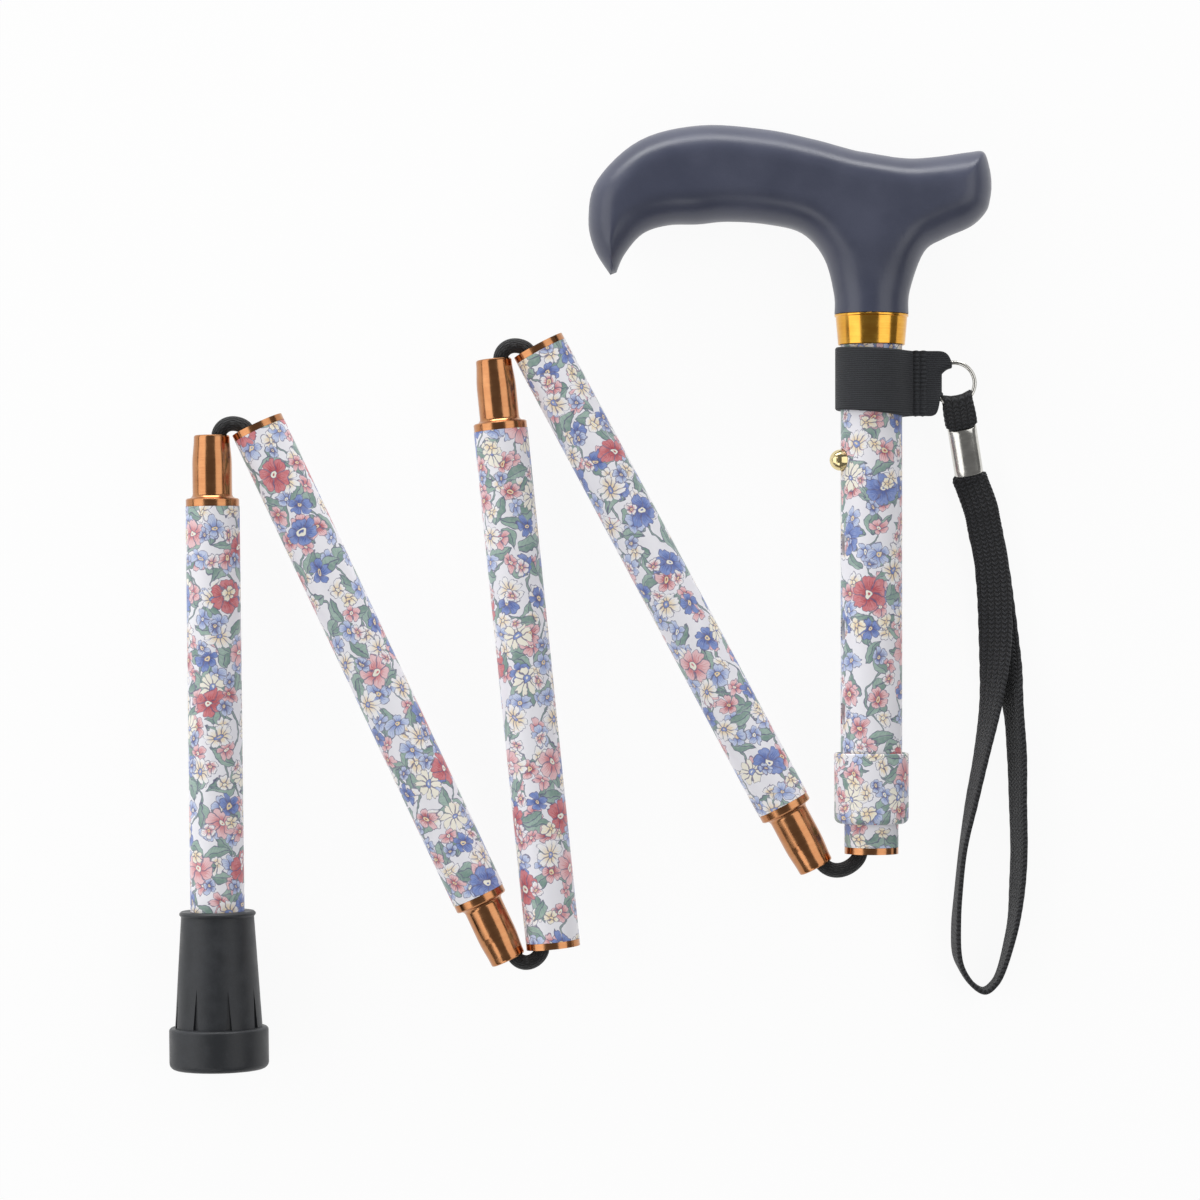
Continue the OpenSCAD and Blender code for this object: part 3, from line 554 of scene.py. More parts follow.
# One entry for each layer of the print, from the lowest: spacing in mm, reach of the motif, wander in its
# cell, share of cells in use, seed, petals and how far the edge dips in between them, colours by turns
printLayers = [
    {"motif": "leaf", "pitch": 9.2, "reach": 4.2, "wander": 0.2, "share": 0.95, "seed": 3.0},
    {"motif": "leaf", "pitch": 10.4, "reach": 4.5, "wander": 0.3, "share": 0.85, "seed": 11.0},
    {"motif": "blossom", "pitch": 8.0, "reach": 3.1, "wander": 0.3, "share": 0.95, "seed": 21.0,
     "petals": 5, "valley": 0.5, "eye": "cream",
     "inner": ("peach", "blue", "coral"), "outer": ("white", "sky", "rose")},
    {"motif": "leaf", "pitch": 12.5, "reach": 4.0, "wander": 0.4, "share": 0.8, "seed": 31.0},
    {"motif": "blossom", "pitch": 10.2, "reach": 3.8, "wander": 0.28, "share": 0.85, "seed": 43.0,
     "petals": 5, "valley": 0.42, "eye": "peach",
     "inner": ("blueDeep", "coralDeep", "blue"), "outer": ("blue", "rose", "sky")},
    {"motif": "blossom", "pitch": 13.6, "reach": 4.6, "wander": 0.32, "share": 0.65, "seed": 57.0,
     "petals": 9, "valley": 0.4, "eye": "blue",
     "inner": ("peach", "cream", "peach"), "outer": ("white", "cream", "white")},
    {"motif": "blossom", "pitch": 16.5, "reach": 5.4, "wander": 0.3, "share": 0.65, "seed": 71.0,
     "petals": 6, "valley": 0.68, "eye": "cream",
     "inner": ("coralDeep", "blueDeep", "coral"), "outer": ("coral", "blue", "rose")},
    {"motif": "blossom", "pitch": 8.6, "reach": 2.6, "wander": 0.42, "share": 0.5, "seed": 83.0,
     "petals": 5, "valley": 0.55, "eye": "peach",
     "inner": ("blueDeep", "coral", "peach"), "outer": ("sky", "white", "cream")},
]
# Stems on the ground: spacing in mm, sway as a share of it, half widths of the line and of the green in mm
stemDrawing = {
    "pitch": 12.0, "sway": 0.22, "wave": 0.31, "start": 5.0, "line": (0.5, 0.35), "green": (0.32, 0.2),
}
leafDrawing = {
    "bow": 0.7, "middle": 0.25, "lean": 0.35, "plump": 0.46, "veinSlant": 0.9, "veinPitch": 1.15,
    "soft": (-0.05, 0.1), "line": (0.34, 0.16), "rib": (0.2, 0.06), "lineShow": 0.85,
    "vein": (0.16, 0.04, 0.0, 0.4), "shade": (-0.9, 0.7, 0.75, 0.0),
}
blossomDrawing = {
    "squash": 1.4, "notch": 0.09, "notchWide": 0.3, "streaks": 8.5, "streakShow": 0.38, "eye": 0.2,
    "soft": (-0.05, 0.1), "line": (0.34, 0.16), "parting": (0.26, 0.1), "lineShow": 0.85,
    "partFrom": (0.2, 0.4), "fade": (0.28, 0.85), "eyeRim": (0.22, 0.05), "eyeFill": (0.02, -0.12),
    "eyeDot": (0.45, 0.25), "tiltDraw": 13.7, "inkDraw": 7.31, "turnStart": 20.0,
}
cellStride, rowShuffle = 17.3, 9.0  # shift of a layer along the tube by its seed, and of its rows round it


def whiteNoise(tree, dimensions, socketName, value):
    node = tree.nodes.new("ShaderNodeTexWhiteNoise")
    node.noise_dimensions = dimensions
    feed(node.inputs[socketName], value)
    return Wire(tree, node.outputs["Value"]), Wire(tree, node.outputs["Color"])


def printCell(turnShare, along, girth, layer):
    # cell of the layer's grid: place from the motif's centre in mm, its spin and a chance value
    tree, pitch = along.tree, layer["pitch"]
    count = calc("ROUND", girth / pitch)
    rowPlace = (along + layer["seed"] * cellStride) / pitch
    row = calc("FLOOR", rowPlace)
    shuffle, unused = whiteNoise(tree, "1D", "W", row + layer["seed"])
    columnPlace = turnShare * count + shuffle * rowShuffle
    key = tree.nodes.new("ShaderNodeCombineXYZ")
    column = calc("FLOORED_MODULO", calc("FLOOR", columnPlace), count)
    for socket, value in zip(key.inputs, (column, row, layer["seed"])):
        feed(socket, value)
    pick, colour = whiteNoise(tree, "3D", "Vector", Wire(tree, key.outputs[0]))
    first, second, third = channels(colour)
    px = (fract(columnPlace) - 0.5 - drift(first, layer["wander"])) * (girth / count)
    py = (fract(rowPlace) - 0.5 - drift(second, layer["wander"])) * pitch
    return px, py, third * (2 * math.pi), pick


def turned(px, py, spin):
    c, s = calc("COSINE", spin), sine(spin)
    return px * c + py * s, py * c - px * s


def pickInk(pick, names):
    ramp = pick.tree.nodes.new("ShaderNodeValToRGB")
    ramp.color_ramp.interpolation = "CONSTANT"
    for i, name in enumerate(names):
        part = ramp.color_ramp.elements[i] if i < 2 else ramp.color_ramp.elements.new(0.5)
        part.position = i / len(names)
        part.color = printInks[name]
    feed(ramp.inputs[0], pick)
    return Wire(pick.tree, ramp.outputs[0])


def drawLeaf(under, px, py, spin, pick, layer):
    facts, reach = leafDrawing, layer["reach"]
    lx, ly = turned(px, py, spin)
    share = lx / reach
    ly = ly + (share * share * facts["bow"] - facts["middle"])
    half = (1.0 - share * share) * (1.0 - share * facts["lean"]) * (reach * facts["plump"])
    off = abs(ly)
    gap = half - off
    inside = span(gap, *facts["soft"]) * calc("LESS_THAN", pick, layer["share"])
    veins = fract((lx - off * facts["veinSlant"]) / facts["veinPitch"])
    veinLine = span(abs(veins - 0.5), *facts["vein"])
    shade = calc("MAXIMUM", span(ly, *facts["shade"]), veinLine)
    colour = tint(shade, printInks["leaf"], printInks["leafDeep"])
    lines = calc("MAXIMUM", span(off, *facts["rib"]), span(gap, *facts["line"]))
    colour = tint(lines * facts["lineShow"], colour, printInks["line"])
    return tint(inside, under, colour)


def drawBlossom(under, px, py, spin, pick, layer):
    facts, reach, petals, valley = blossomDrawing, layer["reach"], layer["petals"], layer["valley"]
    lx, ly = turned(px, py, spin)
    tilt = fract(pick * facts["tiltDraw"])
    ly = ly * span(tilt, 0.0, 1.0, 1.0, facts["squash"], smooth=False)
    rad = length(lx, ly)
    angle = calc("ARCTAN2", ly, lx) + spin
    # phi runs from -1 to 1 across each petal
    phi = fract(angle * (petals / (2 * math.pi)) + facts["turnStart"]) * 2.0 - 1.0
    phiOff = abs(phi)
    bulge = calc("SQRT", 1.0 - phi * phi)
    notch = span(phiOff, facts["notchWide"], 0.0, 0.0, facts["notch"])
    edge = (bulge * (1 - valley) + valley - notch) * reach
    gap, rel = edge - rad, rad / edge
    inside = span(gap, *facts["soft"]) * calc("LESS_THAN", pick, layer["share"])
    chance = fract(pick * facts["inkDraw"])
    inner, outer = pickInk(chance, layer["inner"]), pickInk(chance, layer["outer"])
    streak = abs(sine(phi * facts["streaks"]))
    colour = tint(span(rel + drift(streak, facts["streakShow"]), *facts["fade"]), inner, outer)
    parting = (1.0 - phiOff) * (rad * (math.pi / petals))
    divide = span(parting, *facts["parting"]) * span(rel, *facts["partFrom"])
    lines = calc("MAXIMUM", span(gap, *facts["line"]), divide)
    colour = tint(lines * facts["lineShow"], colour, printInks["line"])
    eye = reach * facts["eye"]
    around = lambda name: span(rad, *(eye + step for step in facts[name]))
    colour = tint(around("eyeRim"), colour, printInks["line"])
    colour = tint(around("eyeFill"), colour, printInks[layer["eye"]])
    colour = tint(span(rad, *(eye * share for share in facts["eyeDot"])), colour, inner)
    return tint(inside, under, colour)


def makePrintGroup():
    tree = bpy.data.node_groups.new("flowerPrint", "ShaderNodeTree")
    for name in ("turnShare", "along", "girth"):
        tree.interface.new_socket(name, in_out="INPUT", socket_type="NodeSocketFloat")
    tree.interface.new_socket("inkColour", in_out="OUTPUT", socket_type="NodeSocketColor")
    entry = tree.nodes.new("NodeGroupInput")
    leave = tree.nodes.new("NodeGroupOutput")
    turnShare, along, girth = [Wire(tree, socket) for socket in list(entry.outputs)[:3]]
    # thin wandering stems on the white ground
    stems = calc("ROUND", girth / stemDrawing["pitch"])
    sway = sine(along * stemDrawing["wave"]) * stemDrawing["sway"]
    away = abs(fract(turnShare * stems + (sway + stemDrawing["start"])) - 0.5) * stemDrawing["pitch"]
    colour = tint(span(away, *stemDrawing["line"]), printInks["ground"], printInks["line"])
    colour = tint(span(away, *stemDrawing["green"]), colour, printInks["stem"])
    for layer in printLayers:
        draw = drawLeaf if layer["motif"] == "leaf" else drawBlossom
        colour = draw(colour, *printCell(turnShare, along, girth, layer), layer)
    feed(leave.inputs[0], colour)
    print("flower print drawn in", len(printLayers), "layers")
    return tree


printGroup = makePrintGroup()
# Film: waver of the drawing in mm, bleed of the inks, roughness, gloss, skin, and the colour of cut ends
filmFacts = {
    "waver": 4.0, "waverScale": 0.22, "bleed": (0.9, 3.0, 0.6), "bleedShow": (0.35, 0.75, 0.0, 0.14),
    "cloud": (0.35, 3.0), "rough": (0.31, 0.41), "gloss": 0.38, "skin": (2.2, 3.0), "skinRise": (0.02, 0.3),
    "bare": ink(206, 207, 210), "cutSoft": 0.1,
}


def printedFilm(name, section, radius, shift, wrap):
    material, tree, shader = freshMaterial(name)
    place = objectPlace(tree, section["mouth"], section["turn"])
    x, y, z = split(place)
    girth = 2 * math.pi * radius
    turnShare = calc("ARCTAN2", x, z) / (2 * math.pi) + 0.5
    # the drawing wavers a little, as by hand
    first, second, unused = channels(grain(place, filmFacts["waverScale"], output="Color"))
    group = tree.nodes.new("ShaderNodeGroup")
    group.node_tree = printGroup
    feed(group.inputs[0], turnShare + drift(first, filmFacts["waver"] / girth))
    feed(group.inputs[1], y + shift + drift(second, filmFacts["waver"]))
    feed(group.inputs[2], girth)
    bleed = span(grain(place, *filmFacts["bleed"]), *filmFacts["bleedShow"])
    colour = tint(bleed, Wire(tree, group.outputs[0]), printInks["white"])
    # the film covers the outside and the rounded edge; cut ends and bores are bare
    covered = span(length(x, z), radius - wrap - filmFacts["cutSoft"], radius - wrap)
    colour = tint(covered, filmFacts["bare"], colour)
    rough = span(grain(place, *filmFacts["cloud"]), *midGrain, *filmFacts["rough"])
    setFinish(shader, colour, rough, filmFacts["gloss"])
    raised(shader, grain(place, *filmFacts["skin"]), *filmFacts["skinRise"])
    return material


# Film of each printed piece: its section, radius in mm, start along the print, and how far in it wraps
filmPieces = {
    "handle_tube": (5, 9.1, 40.0, 0.3),
    "lock_ring": (5, 11.0, 310.0, 1.5),
    "inner_tube": (5, 8.0, 455.0, 0.3),
    "tube_4": (4, 8.0, 620.0, 0.3),
    "tube_3": (3, 8.0, 871.0, 0.3),
    "tube_2": (2, 8.0, 1122.0, 0.3),
    "tube_1": (1, 8.0, 1395.0, 0.3),
}
for piece, (k, radius, shift, wrap) in filmPieces.items():
    dress(piece, printedFilm(piece + "Film", sections[k], radius, shift, wrap))
print("tubes printed")

# Turned and plated metal: two tones, roughness, pitch of the turning marks in mm and how strongly they show
goldFinish = {
    "bright": ink(236, 180, 78), "deep": ink(220, 156, 60), "rough": 0.16, "ring": 0.3, "mark": 0.04,
}
copperFinish = {
    "bright": ink(198, 142, 98), "deep": ink(182, 124, 83), "rough": 0.18, "ring": 0.3, "mark": 0.04,
}
brassFinish = {
    "bright": ink(240, 224, 176), "deep": ink(222, 202, 148), "rough": 0.14, "ring": 0.4, "mark": 0.04,
}
nickelFinish = {
    "bright": ink(222, 220, 214), "deep": ink(204, 202, 197), "rough": 0.16, "ring": 0.8, "mark": 0.02,
}
steelFinish = {
    "bright": ink(190, 192, 196), "deep": ink(140, 142, 146), "rough": 0.34, "ring": 0.3, "mark": 0.4,
}
turning = {
    "stretch": 0.05, "rings": (1.0, 3.0, 0.6), "cloud": (0.25, 3.0), "cloudShare": 0.6, "wear": (0.25, 0.75),
    "smoother": 0.03, "rougher": 0.05, "depth": 0.012,
}


def turnedMetal(name, finish, mouth=(0.0, 0.0), turn=0.0):
    material, tree, shader = freshMaterial(name)
    place = objectPlace(tree, mouth, turn)
    stretch = tree.nodes.new("ShaderNodeMapping")
    stretch.inputs["Scale"].default_value = (turning["stretch"], 1.0 / finish["ring"], turning["stretch"])
    feed(stretch.inputs["Vector"], place)
    rings = grain(Wire(tree, stretch.outputs[0]), *turning["rings"])
    cloud = grain(place, *turning["cloud"])
    both = rings * (1 - turning["cloudShare"]) + cloud * turning["cloudShare"]
    colour = tint(span(both, *midGrain), finish["deep"], finish["bright"])
    low, high = finish["rough"] - turning["smoother"], finish["rough"] + turning["rougher"]
    setFinish(shader, colour, span(cloud, *turning["wear"], low, high))
    shader.inputs["Metallic"].default_value = 1.0
    raised(shader, rings, turning["depth"], finish["mark"])
    return material


dress("handle_collar", turnedMetal("goldCollar", goldFinish, sections[5]["mouth"]))
for k in (5, 4, 3, 2, 1):
    copper = turnedMetal("copperSection%d" % k, copperFinish, sections[k]["mouth"], sections[k]["turn"])
    if k < 5:
        dress("stub_%d" % k, copper)
    if k > 1:
        dress("mouth_ring_%d" % k, copper)
dress("snap_button", turnedMetal("brassButton", brassFinish, sections[5]["mouth"]))
nickel = turnedMetal("nickelPlate", nickelFinish, strap["tabAxis"], -strap["lean"])
dress("strap_ring", nickel)
crimpPiece.data.materials.append(nickel)
steel = turnedMetal("stripSteel", steelFinish)
dress("button_spring", steel)
dress("foot_washer", steel)
print("metal finished")

# Moulded finishes: two tones, roughness, noise of the cloudy wear and of the grain, depth of the grain in mm
rubberFinish = {
    "face": ink(46, 48, 51), "worn": ink(60, 62, 66), "rough": (0.34, 0.5), "gloss": 0.32,
    "cloud": (0.12, 4.0, 0.6), "fine": (3.2, 3.0, 0.7), "fineShare": 0.3,
    "wear": (0.4, 0.75), "grain": (0.05, 0.5),
}
mouldFinish = {
    "face": ink(44, 44, 48), "worn": ink(60, 60, 64), "rough": (0.39, 0.55), "gloss": 0.32,
    "cloud": (0.12, 4.0, 0.6), "fine": (2.5, 3.0, 0.7), "fineShare": 0.3,
    "wear": (0.4, 0.75), "grain": (0.03, 0.5),
}
softFinish = {
    "face": ink(67, 71, 89), "worn": ink(77, 81, 100), "rough": (0.29, 0.39), "gloss": 0.54,
    "cloud": (0.05, 4.0, 0.55), "fine": (4.0, 2.0, 0.6), "fineShare": 0.25,
    "wear": (0.35, 0.7), "grain": (0.03, 0.35),
}


def mouldedMaterial(name, finish):
    material, tree, shader = freshMaterial(name)
    place = objectPlace(tree)
    cloud, fine = grain(place, *finish["cloud"]), grain(place, *finish["fine"])
    both = cloud * (1 - finish["fineShare"]) + fine * finish["fineShare"]
    colour = tint(span(both, *finish["wear"]), finish["face"], finish["worn"])
    setFinish(shader, colour, span(cloud, *midGrain, *finish["rough"]), finish["gloss"])
    raised(shader, fine, *finish["grain"])
    return material


dress("foot", mouldedMaterial("footRubber", rubberFinish))
mould = mouldedMaterial("innerMoulding", mouldFinish)
for piece in ("collet_bush", "cord_anchor_top", "cord_anchor_bottom"):
    dress(piece, mould)
print("foot and inner mouldings finished")

# Elastic cuff: mid radius of the band, its edges from left to right, the seam, the fold that holds the ring,
# the stitched ridges beside the seam, and the hem along both edges, mm
cuff = {
    "axis": sections[5]["mouth"][0],
    "band": 10.0,
    "thick": 1.5,
    "foldThick": 1.0,
    "lowEdge": [(75.5, 55.6), (87.2, 54.6), (95.4, 53.7), (98.3, 53.8)],
    "highEdge": [(75.5, 74.1), (95.8, 73.05), (98.3, 73.0)],
    "seamX": 98.3,
    "ply": 0.8,
    "ringCentre": (110.815, 63.527),
    "ringRadius": tab["ringRadius"],
    "foldFrom": 226.0, "foldTo": 98.0, "foldRadius": 1.4, "foldEdge": 4.115, "foldLeast": 1.15,
    "slimFrom": 0.6, "cornerLow": 14.0, "cornerHigh": 11.0,
    "ridges": (99.4, 101.5), "ridgeWide": 0.6, "ridgeRise": 0.5, "pucker": 1.2, "puckerLeast": 0.55,
    "hem": 0.3, "hemRows": 5, "hemSoft": 1.5, "edgeThin": 0.55, "edgeRows": 2,
    "hinge": (103.2, 105.4),
    "plySteps": 48, "foldSteps": 14, "bandSteps": 72, "slopeSteps": 10, "rows": 96,
}
# Cuff weave: the valley colour is painted shade in the grooves between ribs and picks
cuffFinish = {
    "thread": ink(58, 60, 64), "valley": ink(28, 28, 31), "shine": ink(76, 78, 83),
    "rib": 0.62, "ribShare": 0.78, "pick": 0.5, "pickShare": 0.22,
    "fuzz": (2.8, 4.0, 0.7), "lint": (0.5, 0.85, 0.0, 0.5), "fuzzRise": 0.4, "depth": 0.12,
    "rough": 0.78, "gloss": 0.3, "sheen": 0.12,
}


def alongEdge(points, x):
    for (ax, ay), (bx, by) in zip(points, points[1:]):
        if x <= bx:
            return ay + (by - ay) * max(0.0, (x - ax) / (bx - ax))
    return points[-1][1]


def cuffStations():
    # once round: upper ply out to the ring, fold, lower ply back, round the tube and up to the seam
    seam, ply, band = cuff["seamX"] - cuff["axis"], cuff["ply"], cuff["band"]
    leave = math.atan2(ply, seam) + math.acos(band / math.hypot(seam, ply))
    touch = (band * math.cos(leave), band * math.sin(leave))
    slope = [i / cuff["slopeSteps"] for i in range(1, cuff["slopeSteps"])]
    path = [("ply", 1, i / cuff["plySteps"]) for i in range(cuff["plySteps"])]
    path += [("fold", math.pi * i / cuff["foldSteps"], 1.0) for i in range(cuff["foldSteps"] + 1)]
    path += [("ply", -1, 1 - i / cuff["plySteps"]) for i in range(1, cuff["plySteps"] + 1)]
    path += [("band",) + partWay((seam, -ply), (touch[0], -touch[1]), t) for t in slope]
    for i in range(cuff["bandSteps"] + 1):
        a = -leave - (2 * math.pi - 2 * leave) * i / cuff["bandSteps"]
        path.append(("band", band * math.cos(a), band * math.sin(a)))
    return path + [("band",) + partWay(touch, (seam, ply), t) for t in slope]


def cuffBandPoint(out, rise, v):
    x = cuff["axis"] + out
    low, high = alongEdge(cuff["lowEdge"], x), alongEdge(cuff["highEdge"], x)
    return Vector((x, low + (high - low) * v, axisHeight + rise))


def cuffPoint(station, v):
    kind, first, second = station
    if kind == "band":
        return cuffBandPoint(first, second, v)
    turn = math.radians(cuff["foldFrom"] + (cuff["foldTo"] - cuff["foldFrom"]) * v)
    c, s = math.cos(turn), math.sin(turn)
    cx, cy = cuff["ringCentre"]
    wire = (cx + cuff["ringRadius"] * c, cy + cuff["ringRadius"] * s)
    fold, ply, seam = cuff["foldRadius"], cuff["ply"], cuff["seamX"]
    if kind == "fold":
        straight = cuff["ringRadius"] - cuff["foldEdge"] / max(0.1, -c)
        reach = max(cuff["foldLeast"], straight) * math.sin(first)
        return Vector((wire[0] - reach * c, wire[1] - reach * s, axisHeight + fold * math.cos(first)))
    corner = cuff["cornerLow"] + (cuff["cornerHigh"] - cuff["cornerLow"]) * v
    low, high = cuff["lowEdge"][-1][1], cuff["highEdge"][-1][1]
    start = low + (high - low) * v
    x = seam + (wire[0] - seam) * second
    y = start + (wire[1] - start) * second ** corner
    ridge = sum(math.exp(-((x - at) / cuff["ridgeWide"]) ** 2) for at in cuff["ridges"])
    least = cuff["puckerLeast"]
    gather = least + (1 - least) * abs(math.sin(math.pi * y / cuff["pucker"]))
    height = toward(ply, fold, 2 * second - 1) + cuff["ridgeRise"] * ridge * gather
    return Vector((x, y, axisHeight + first * height))


def cuffRing(before, line, after, thick):
    # outer and inner face of the band across one line, thin at the edges and with a raised hem
    rows, thin = cuff["rows"], cuff["edgeThin"]
    outer, inner = [], []
    for j, point in enumerate(line):
        onward = after[j] - before[j]
        sideways = line[min(j + 1, rows)] - line[max(j - 1, 0)]
        normal = sideways.cross(onward).normalized()
        edge = min(j, rows - j)
        half = thick / 2 * (thin + (1 - thin) * eased(edge / cuff["edgeRows"]))
        soft = cuff["hemSoft"]
        hem = cuff["hem"] * (eased(edge / soft) - eased((edge - cuff["hemRows"]) / soft))
        outer.append(point + (half + hem) * normal)
        inner.append(point - half * normal)
    return outer + inner[::-1]


def makeCuff(material):
    stations, rows = cuffStations(), cuff["rows"]
    grid = [[cuffPoint(s, j / rows) for j in range(rows + 1)] for s in stations]
    middle = rows // 2
    rings, uvs, along = [], [], 0.0
    for i, line in enumerate(grid):
        kind, unused, share = stations[i]
        slim = (share - cuff["slimFrom"]) / (1 - cuff["slimFrom"]) if kind != "band" else 0.0
        before, after = grid[i - 1], grid[(i + 1) % len(grid)]
        along += (line[middle] - before[middle]).length if i else 0.0
        rings.append(cuffRing(before, line, after, toward(cuff["thick"], cuff["foldThick"], slim)))
        places = [(point.y, along) for point in line]
        uvs += places + places[::-1]
    verts, faces = sweep(rings, looped=True)
    piece = meshObject("elasticCuff", verts, faces, uvs)
    faceOutward(piece)
    piece.data.materials.append(material)
    near, far = cuff["hinge"]
    y = cuff["ringCentre"][1]
    near * mm
    y * mm
    far * mm
    y * mm
    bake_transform(piece)
    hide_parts("strap_cuff")
    print("elastic cuff made:", len(piece.data.vertices), "points")


def cuffMaterial():
    material, tree, shader = freshMaterial("elasticCuff")
    y, along, place = wovenPlace(tree)
    ribs, picks = ripple(y, cuffFinish["rib"]), ripple(along, cuffFinish["pick"])
    # where the weave is low, the valley colour darkens it as painted shade
    weave = ribs * cuffFinish["ribShare"] + picks * cuffFinish["pickShare"]
    wovenFinish(shader, place, weave, cuffFinish)
    return material


makeCuff(cuffMaterial())

# Elastic cord: braided sheath with painted shade in the valleys between strands, straight in the tubes and
# bent round each fold, mm
cord = {
    "radius": 2.2,
    "sheath": ink(38, 39, 42), "valley": ink(10, 10, 12),
    "strands": 9, "lay": 3.4, "ridge": (0.1, 0.7), "depth": 0.3,
    "fuzz": (6.0, 3.0, 0.7), "rough": (0.62, 0.78), "sheen": 0.1,
    "atStub": 2.15, "atMouth": 3.4, "gap": 0.3, "draw": 0.3, "stop": 24.7, "lead": 0.35,
    "leadSteps": 3, "bendSteps": 40, "tubeSteps": 12, "runSteps": 16, "sides": 28,
}
# Fold between section k and the one above it: side of the pivot and its distance from the tube axes
folds = {4: (-1, 8.58953), 3: (1, 6.94337), 2: (-1, 6.92084), 1: (1, 6.96203)}
# Straight cord in each section: body, lower end and upper end above the mouth
cordRuns = {
    5: ("inner_tube", 25.0, 57.7),
    4: ("section_4", 25.0, 174.5),
    3: ("section_3", 25.0, 174.5),
    2: ("section_2", 25.0, 174.5),
    1: ("section_1", 28.8, 187.0),
}


def cordMaterial():
    material, tree, shader = freshMaterial("cordBraid")
    x, y, place = wovenPlace(tree)
    lay = y / cord["lay"]
    height = ripple(x + lay) * ripple(x - lay)
    rough = span(grain(place, *cord["fuzz"]), *midGrain, *cord["rough"])
    # the valley colour is painted shade in the grooves between the braided strands
    colour = tint(span(height, *cord["ridge"]), cord["valley"], cord["sheath"])
    setFinish(shader, colour, rough, sheen=cord["sheen"])
    raised(shader, height, cord["depth"])
    return material


def onSection(k, x, up):
    # place in the plane of the fold, from a section's mouth, to the row frame, mm
    angle = math.radians(sections[k]["turn"])
    c, s = math.cos(angle), math.sin(angle)
    mx, my = sections[k]["mouth"]
    return Vector((mx + x * c + up * s, my - x * s + up * c, axisHeight))


def cordTube(name, route, material):
    rings, uvs, along, sides = [], [], 0.0, cord["sides"]
    over = Vector((0, 0, 1))
    turns = [2 * math.pi * j / sides for j in range(sides)]
    for i, point in enumerate(route):
        if i:
            along += (point - route[i - 1]).length
        t = (route[min(i + 1, len(route) - 1)] - route[max(i - 1, 0)]).normalized()
        across = t.cross(over)
        rings.append([point + cord["radius"] * (math.cos(a) * over + math.sin(a) * across) for a in turns])
        uvs += [(cord["strands"] * 2 * j / sides, along) for j in range(sides)]
    verts, faces = sweep(rings)
    tube = meshObject(name, verts, faces, uvs)
    tube.data.materials.append(material)
    return tube


def makeCordBend(k, material):
    side, pivot = folds[k]
    turn = sections[k]["turn"] - sections[k + 1]["turn"]
    near, far = pivot - cord["atMouth"], pivot - cord["atStub"]
    bend = []
    for i in range(cord["bendSteps"] + 1):
        share = i / cord["bendSteps"]
        angle = math.radians(turn * (1 - share))
        reach = toward(far, near, share) - cord["draw"] * near * math.sin(math.pi * share)
        x, up = side * (pivot - reach * math.cos(angle)), side * reach * math.sin(angle) - cord["gap"]
        bend.append(onSection(k + 1, x, up))
    down = onSection(k, 0, -1) - onSection(k, 0, 0)
    lead = [bend[0] + down * cord["lead"] * i for i in range(cord["leadSteps"], 0, -1)]
    rise = [cord["stop"] * i / cord["tubeSteps"] for i in range(1, cord["tubeSteps"] + 1)]
    route = lead + bend + [onSection(k + 1, side * cord["atMouth"], up) for up in rise]
    piece = cordTube("cordBend%d" % k, route, material)
    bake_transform(piece)
    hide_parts("cord_bend_%d" % k)


def makeCordRun(k, material):
    # from beside the pivot below to beside the pivot above; the anchors hold the two free ends
    body, low, high = cordRuns[k]
    lowX = folds[k - 1][0] * cord["atMouth"] if k - 1 in folds else 0.0
    highX = folds[k][0] * cord["atStub"] if k in folds else lowX
    shares = [i / cord["runSteps"] for i in range(cord["runSteps"] + 1)]
    route = [onSection(k, *partWay((lowX, low), (highX, high), t)) for t in shares]
    piece = cordTube("cordRun%d" % k, route, material)
    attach(piece, body)
    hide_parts("cord_%d" % k)


braid = cordMaterial()
for k in folds:
    makeCordBend(k, braid)
for k in cordRuns:
    makeCordRun(k, braid)
print("elastic cord made")

# Derby handle: stations from the nose to the heel, crown point and underside point, mm from the collar seat
handle = {
    "seat": (sections[5]["mouth"][0], 83.9266),
    "nose": [
        ((-77.4, 11.7), (-75.6, 12.4)), ((-82.1, 19.3), (-73.1, 17.9)), ((-83.9, 28.3), (-67.8, 23.9)),
        ((-81.3, 39.8), (-60.4, 26.4)), ((-68.7, 51.5), (-51.5, 26.7)), ((-50.9, 55.9), (-42.6, 27.5)),
        ((-31.6, 54.7), (-30.9, 26.7)), ((-17.7, 51.9), (-20.5, 24.0)), ((-10.6, 50.0), (-14.0, 16.6)),
        ((-7.0, 49.0), (-11.1, 6.0)), ((-4.7, 48.4), (-10.95, 0.05)),
    ],
    "heel": [
        ((4.8, 46.8), (10.95, 0.05)), ((7.5, 46.4), (11.35, 7.0)), ((12.8, 46.1), (15.55, 18.4)),
        ((20.8, 46.8), (21.6, 22.5)), ((28.5, 47.9), (29.6, 26.1)), ((33.1, 48.0), (33.9, 30.3)),
        ((34.9, 43.3), (35.1, 34.0)), ((35.5, 39.4), (35.5, 37.0)),
    ],
    "thick": 25.2, "round": 9.0,
    "stem": 21.9, "stemTop": 22.0, "stemRun": 14.0,
    "noseSlim": 0.16, "slimFrom": -45.0, "slimRun": 35.0,
    "steps": 6, "stemSteps": 12, "cells": 30,
    "edge": 0.05, "weld": 0.12, "crease": 55,
}


def toRun(q, run):
    # distance from a point to a line of points
    best = 1e9
    for (ax, ay), (bx, by) in zip(run, run[1:]):
        dx, dy = bx - ax, by - ay
        share = ((q[0] - ax) * dx + (q[1] - ay) * dy) / max(dx * dx + dy * dy, 1e-9)
        t = max(0.0, min(1.0, share))
        best = min(best, math.hypot(q[0] - ax - t * dx, q[1] - ay - t * dy))
    return best


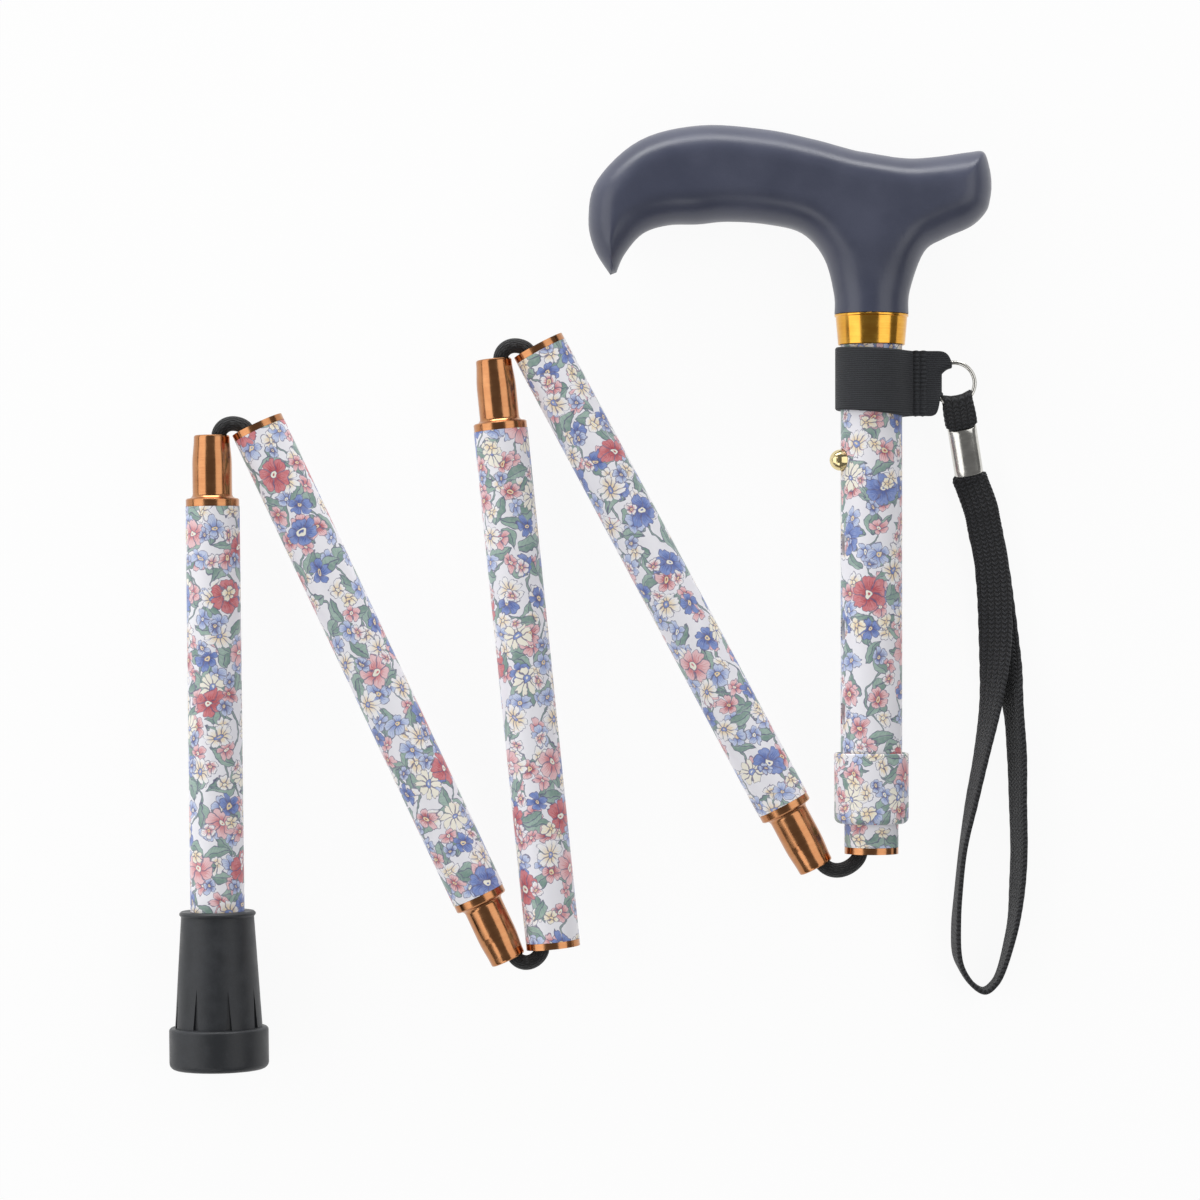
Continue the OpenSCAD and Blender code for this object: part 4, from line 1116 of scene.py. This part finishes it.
def halfThick(q, rim):
    # half thickness at a point, from its distance to the outline: round edges, and a round stem
    stem = eased((handle["stemTop"] - q[1]) / handle["stemRun"])
    slim = 1 - handle["noseSlim"] * eased((handle["slimFrom"] - q[0]) / handle["slimRun"])
    half = handle["thick"] / 2 * slim * (1 - stem) + handle["stem"] / 2 * stem
    edge = handle["round"] * (1 - stem) + handle["stem"] / 2 * stem
    away = 1 - min(1.0, toRun(q, rim) / edge)
    return max(handle["edge"], half * math.sqrt(1 - away * away))


def makeHandle(material):
    bunched = lambda steps: [(1 - math.cos(math.pi * i / steps)) / 2 for i in range(steps + 1)]
    noseTop, noseUnder = (smoothRun([s[i] for s in handle["nose"]], handle["steps"]) for i in (0, 1))
    heelTop, heelUnder = (smoothRun([s[i] for s in handle["heel"]], handle["steps"]) for i in (0, 1))
    between = bunched(handle["stemSteps"])[1:-1]
    tops = noseTop + [partWay(noseTop[-1], heelTop[0], t) for t in between] + heelTop
    unders = noseUnder + [partWay(noseUnder[-1], heelUnder[0], t) for t in between] + heelUnder
    rim = list(reversed(noseUnder)) + tops + list(reversed(heelUnder))
    sx, sy = handle["seat"]
    rings = []
    for top, under in zip(tops, unders):
        row = [partWay(top, under, t) for t in bunched(handle["cells"])]
        half = [halfThick(q, rim) for q in row]
        upper = [(sx + q[0], sy + q[1], axisHeight + h) for q, h in zip(row, half)]
        lower = [(sx + q[0], sy + q[1], axisHeight - h) for q, h in zip(row, half)]
        rings.append(upper + lower[::-1])
    verts, faces = sweep(rings)
    grip = meshObject("derbyGrip", verts, faces)
    faceOutward(grip, weld=handle["weld"])
    grip.data.shade_smooth()
    grip.data.set_sharp_from_angle(angle=math.radians(handle["crease"]))
    grip.data.materials.append(material)
    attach(grip, "handle")
    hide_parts("handle")
    print("handle made:", len(grip.data.vertices), "points")


makeHandle(mouldedMaterial("softNavy", softFinish))

# Pale table in mm, and soft boxes at the head, left, right and foot in metres and watts
tableFacts = {
    "half": 30000.0, "drop": 0.05, "paper": ink(246, 246, 246), "fibre": ink(250, 250, 250),
    "fibres": (0.02, 4.0), "fibreShow": (0.0, 0.3), "rough": 0.9, "share": 0.93,
}
lamps = {
    "headBox": {"at": (-0.1, 1.15, 0.24), "size": (1.8, 0.36), "power": 15.0},
    "leftBox": {"at": (-1.15, 0.05, 0.66), "size": (1.7, 1.1), "power": 9.3},
    "rightBox": {"at": (0.9, 0.1, 1.0), "size": (1.5, 0.95), "power": 5.8},
    "footBox": {"at": (-0.42, -0.95, 0.9), "size": (0.85, 0.6), "power": 2.6},
}
worldLight = {"colour": (1.0, 1.0, 1.0, 1.0), "strength": 0.17}


def makeTable():
    half, drop = tableFacts["half"], -tableFacts["drop"]
    corners = [(x * half, y * half, drop) for x, y in ((-1, -1), (1, -1), (1, 1), (-1, 1))]
    table = meshObject("paleTable", corners, [(0, 1, 2, 3)], smooth=False)
    material, tree, shader = freshMaterial("paleTable")
    fibre = span(grain(objectPlace(tree), *tableFacts["fibres"]), *midGrain, *tableFacts["fibreShow"])
    setFinish(shader, tint(fibre, tableFacts["paper"], tableFacts["fibre"]), tableFacts["rough"])
    glow = tree.nodes.new("ShaderNodeEmission")
    glow.inputs["Color"].default_value = (1.0, 1.0, 1.0, 1.0)
    rays = tree.nodes.new("ShaderNodeLightPath")
    ray = lambda name: Wire(tree, rays.outputs[name])
    seen = calc("MAXIMUM", ray("Is Camera Ray"), ray("Is Glossy Ray"))
    seen = calc("MAXIMUM", seen, ray("Is Transmission Ray"))
    both = tree.nodes.new("ShaderNodeMixShader")
    feed(both.inputs[0], seen * tableFacts["share"])
    feed(both.inputs[1], Wire(tree, shader.outputs[0]))
    feed(both.inputs[2], Wire(tree, glow.outputs[0]))
    feed(tree.nodes["Material Output"].inputs["Surface"], Wire(tree, both.outputs[0]))
    table.data.materials.append(material)


def makeLight():
    for name, facts in lamps.items():
        data = bpy.data.lights.new(name, "AREA")
        data.shape = "RECTANGLE"
        data.size, data.size_y = facts["size"]
        data.energy = facts["power"]
        lamp = bpy.data.objects.new(name, data)
        lamp.location = facts["at"]
        lamp.rotation_mode = "QUATERNION"
        lamp.rotation_quaternion = Vector(facts["at"]).to_track_quat("Z", "Y")
        bpy.context.scene.collection.objects.link(lamp)
    world = bpy.data.worlds.new("studio")
    world.use_nodes = True
    back = world.node_tree.nodes["Background"]
    back.inputs["Color"].default_value = worldLight["colour"]
    back.inputs["Strength"].default_value = worldLight["strength"]
    bpy.context.scene.world = world


makeTable()
makeLight()
bpy.context.scene.view_settings.view_transform = "Standard"
print("table and light set")
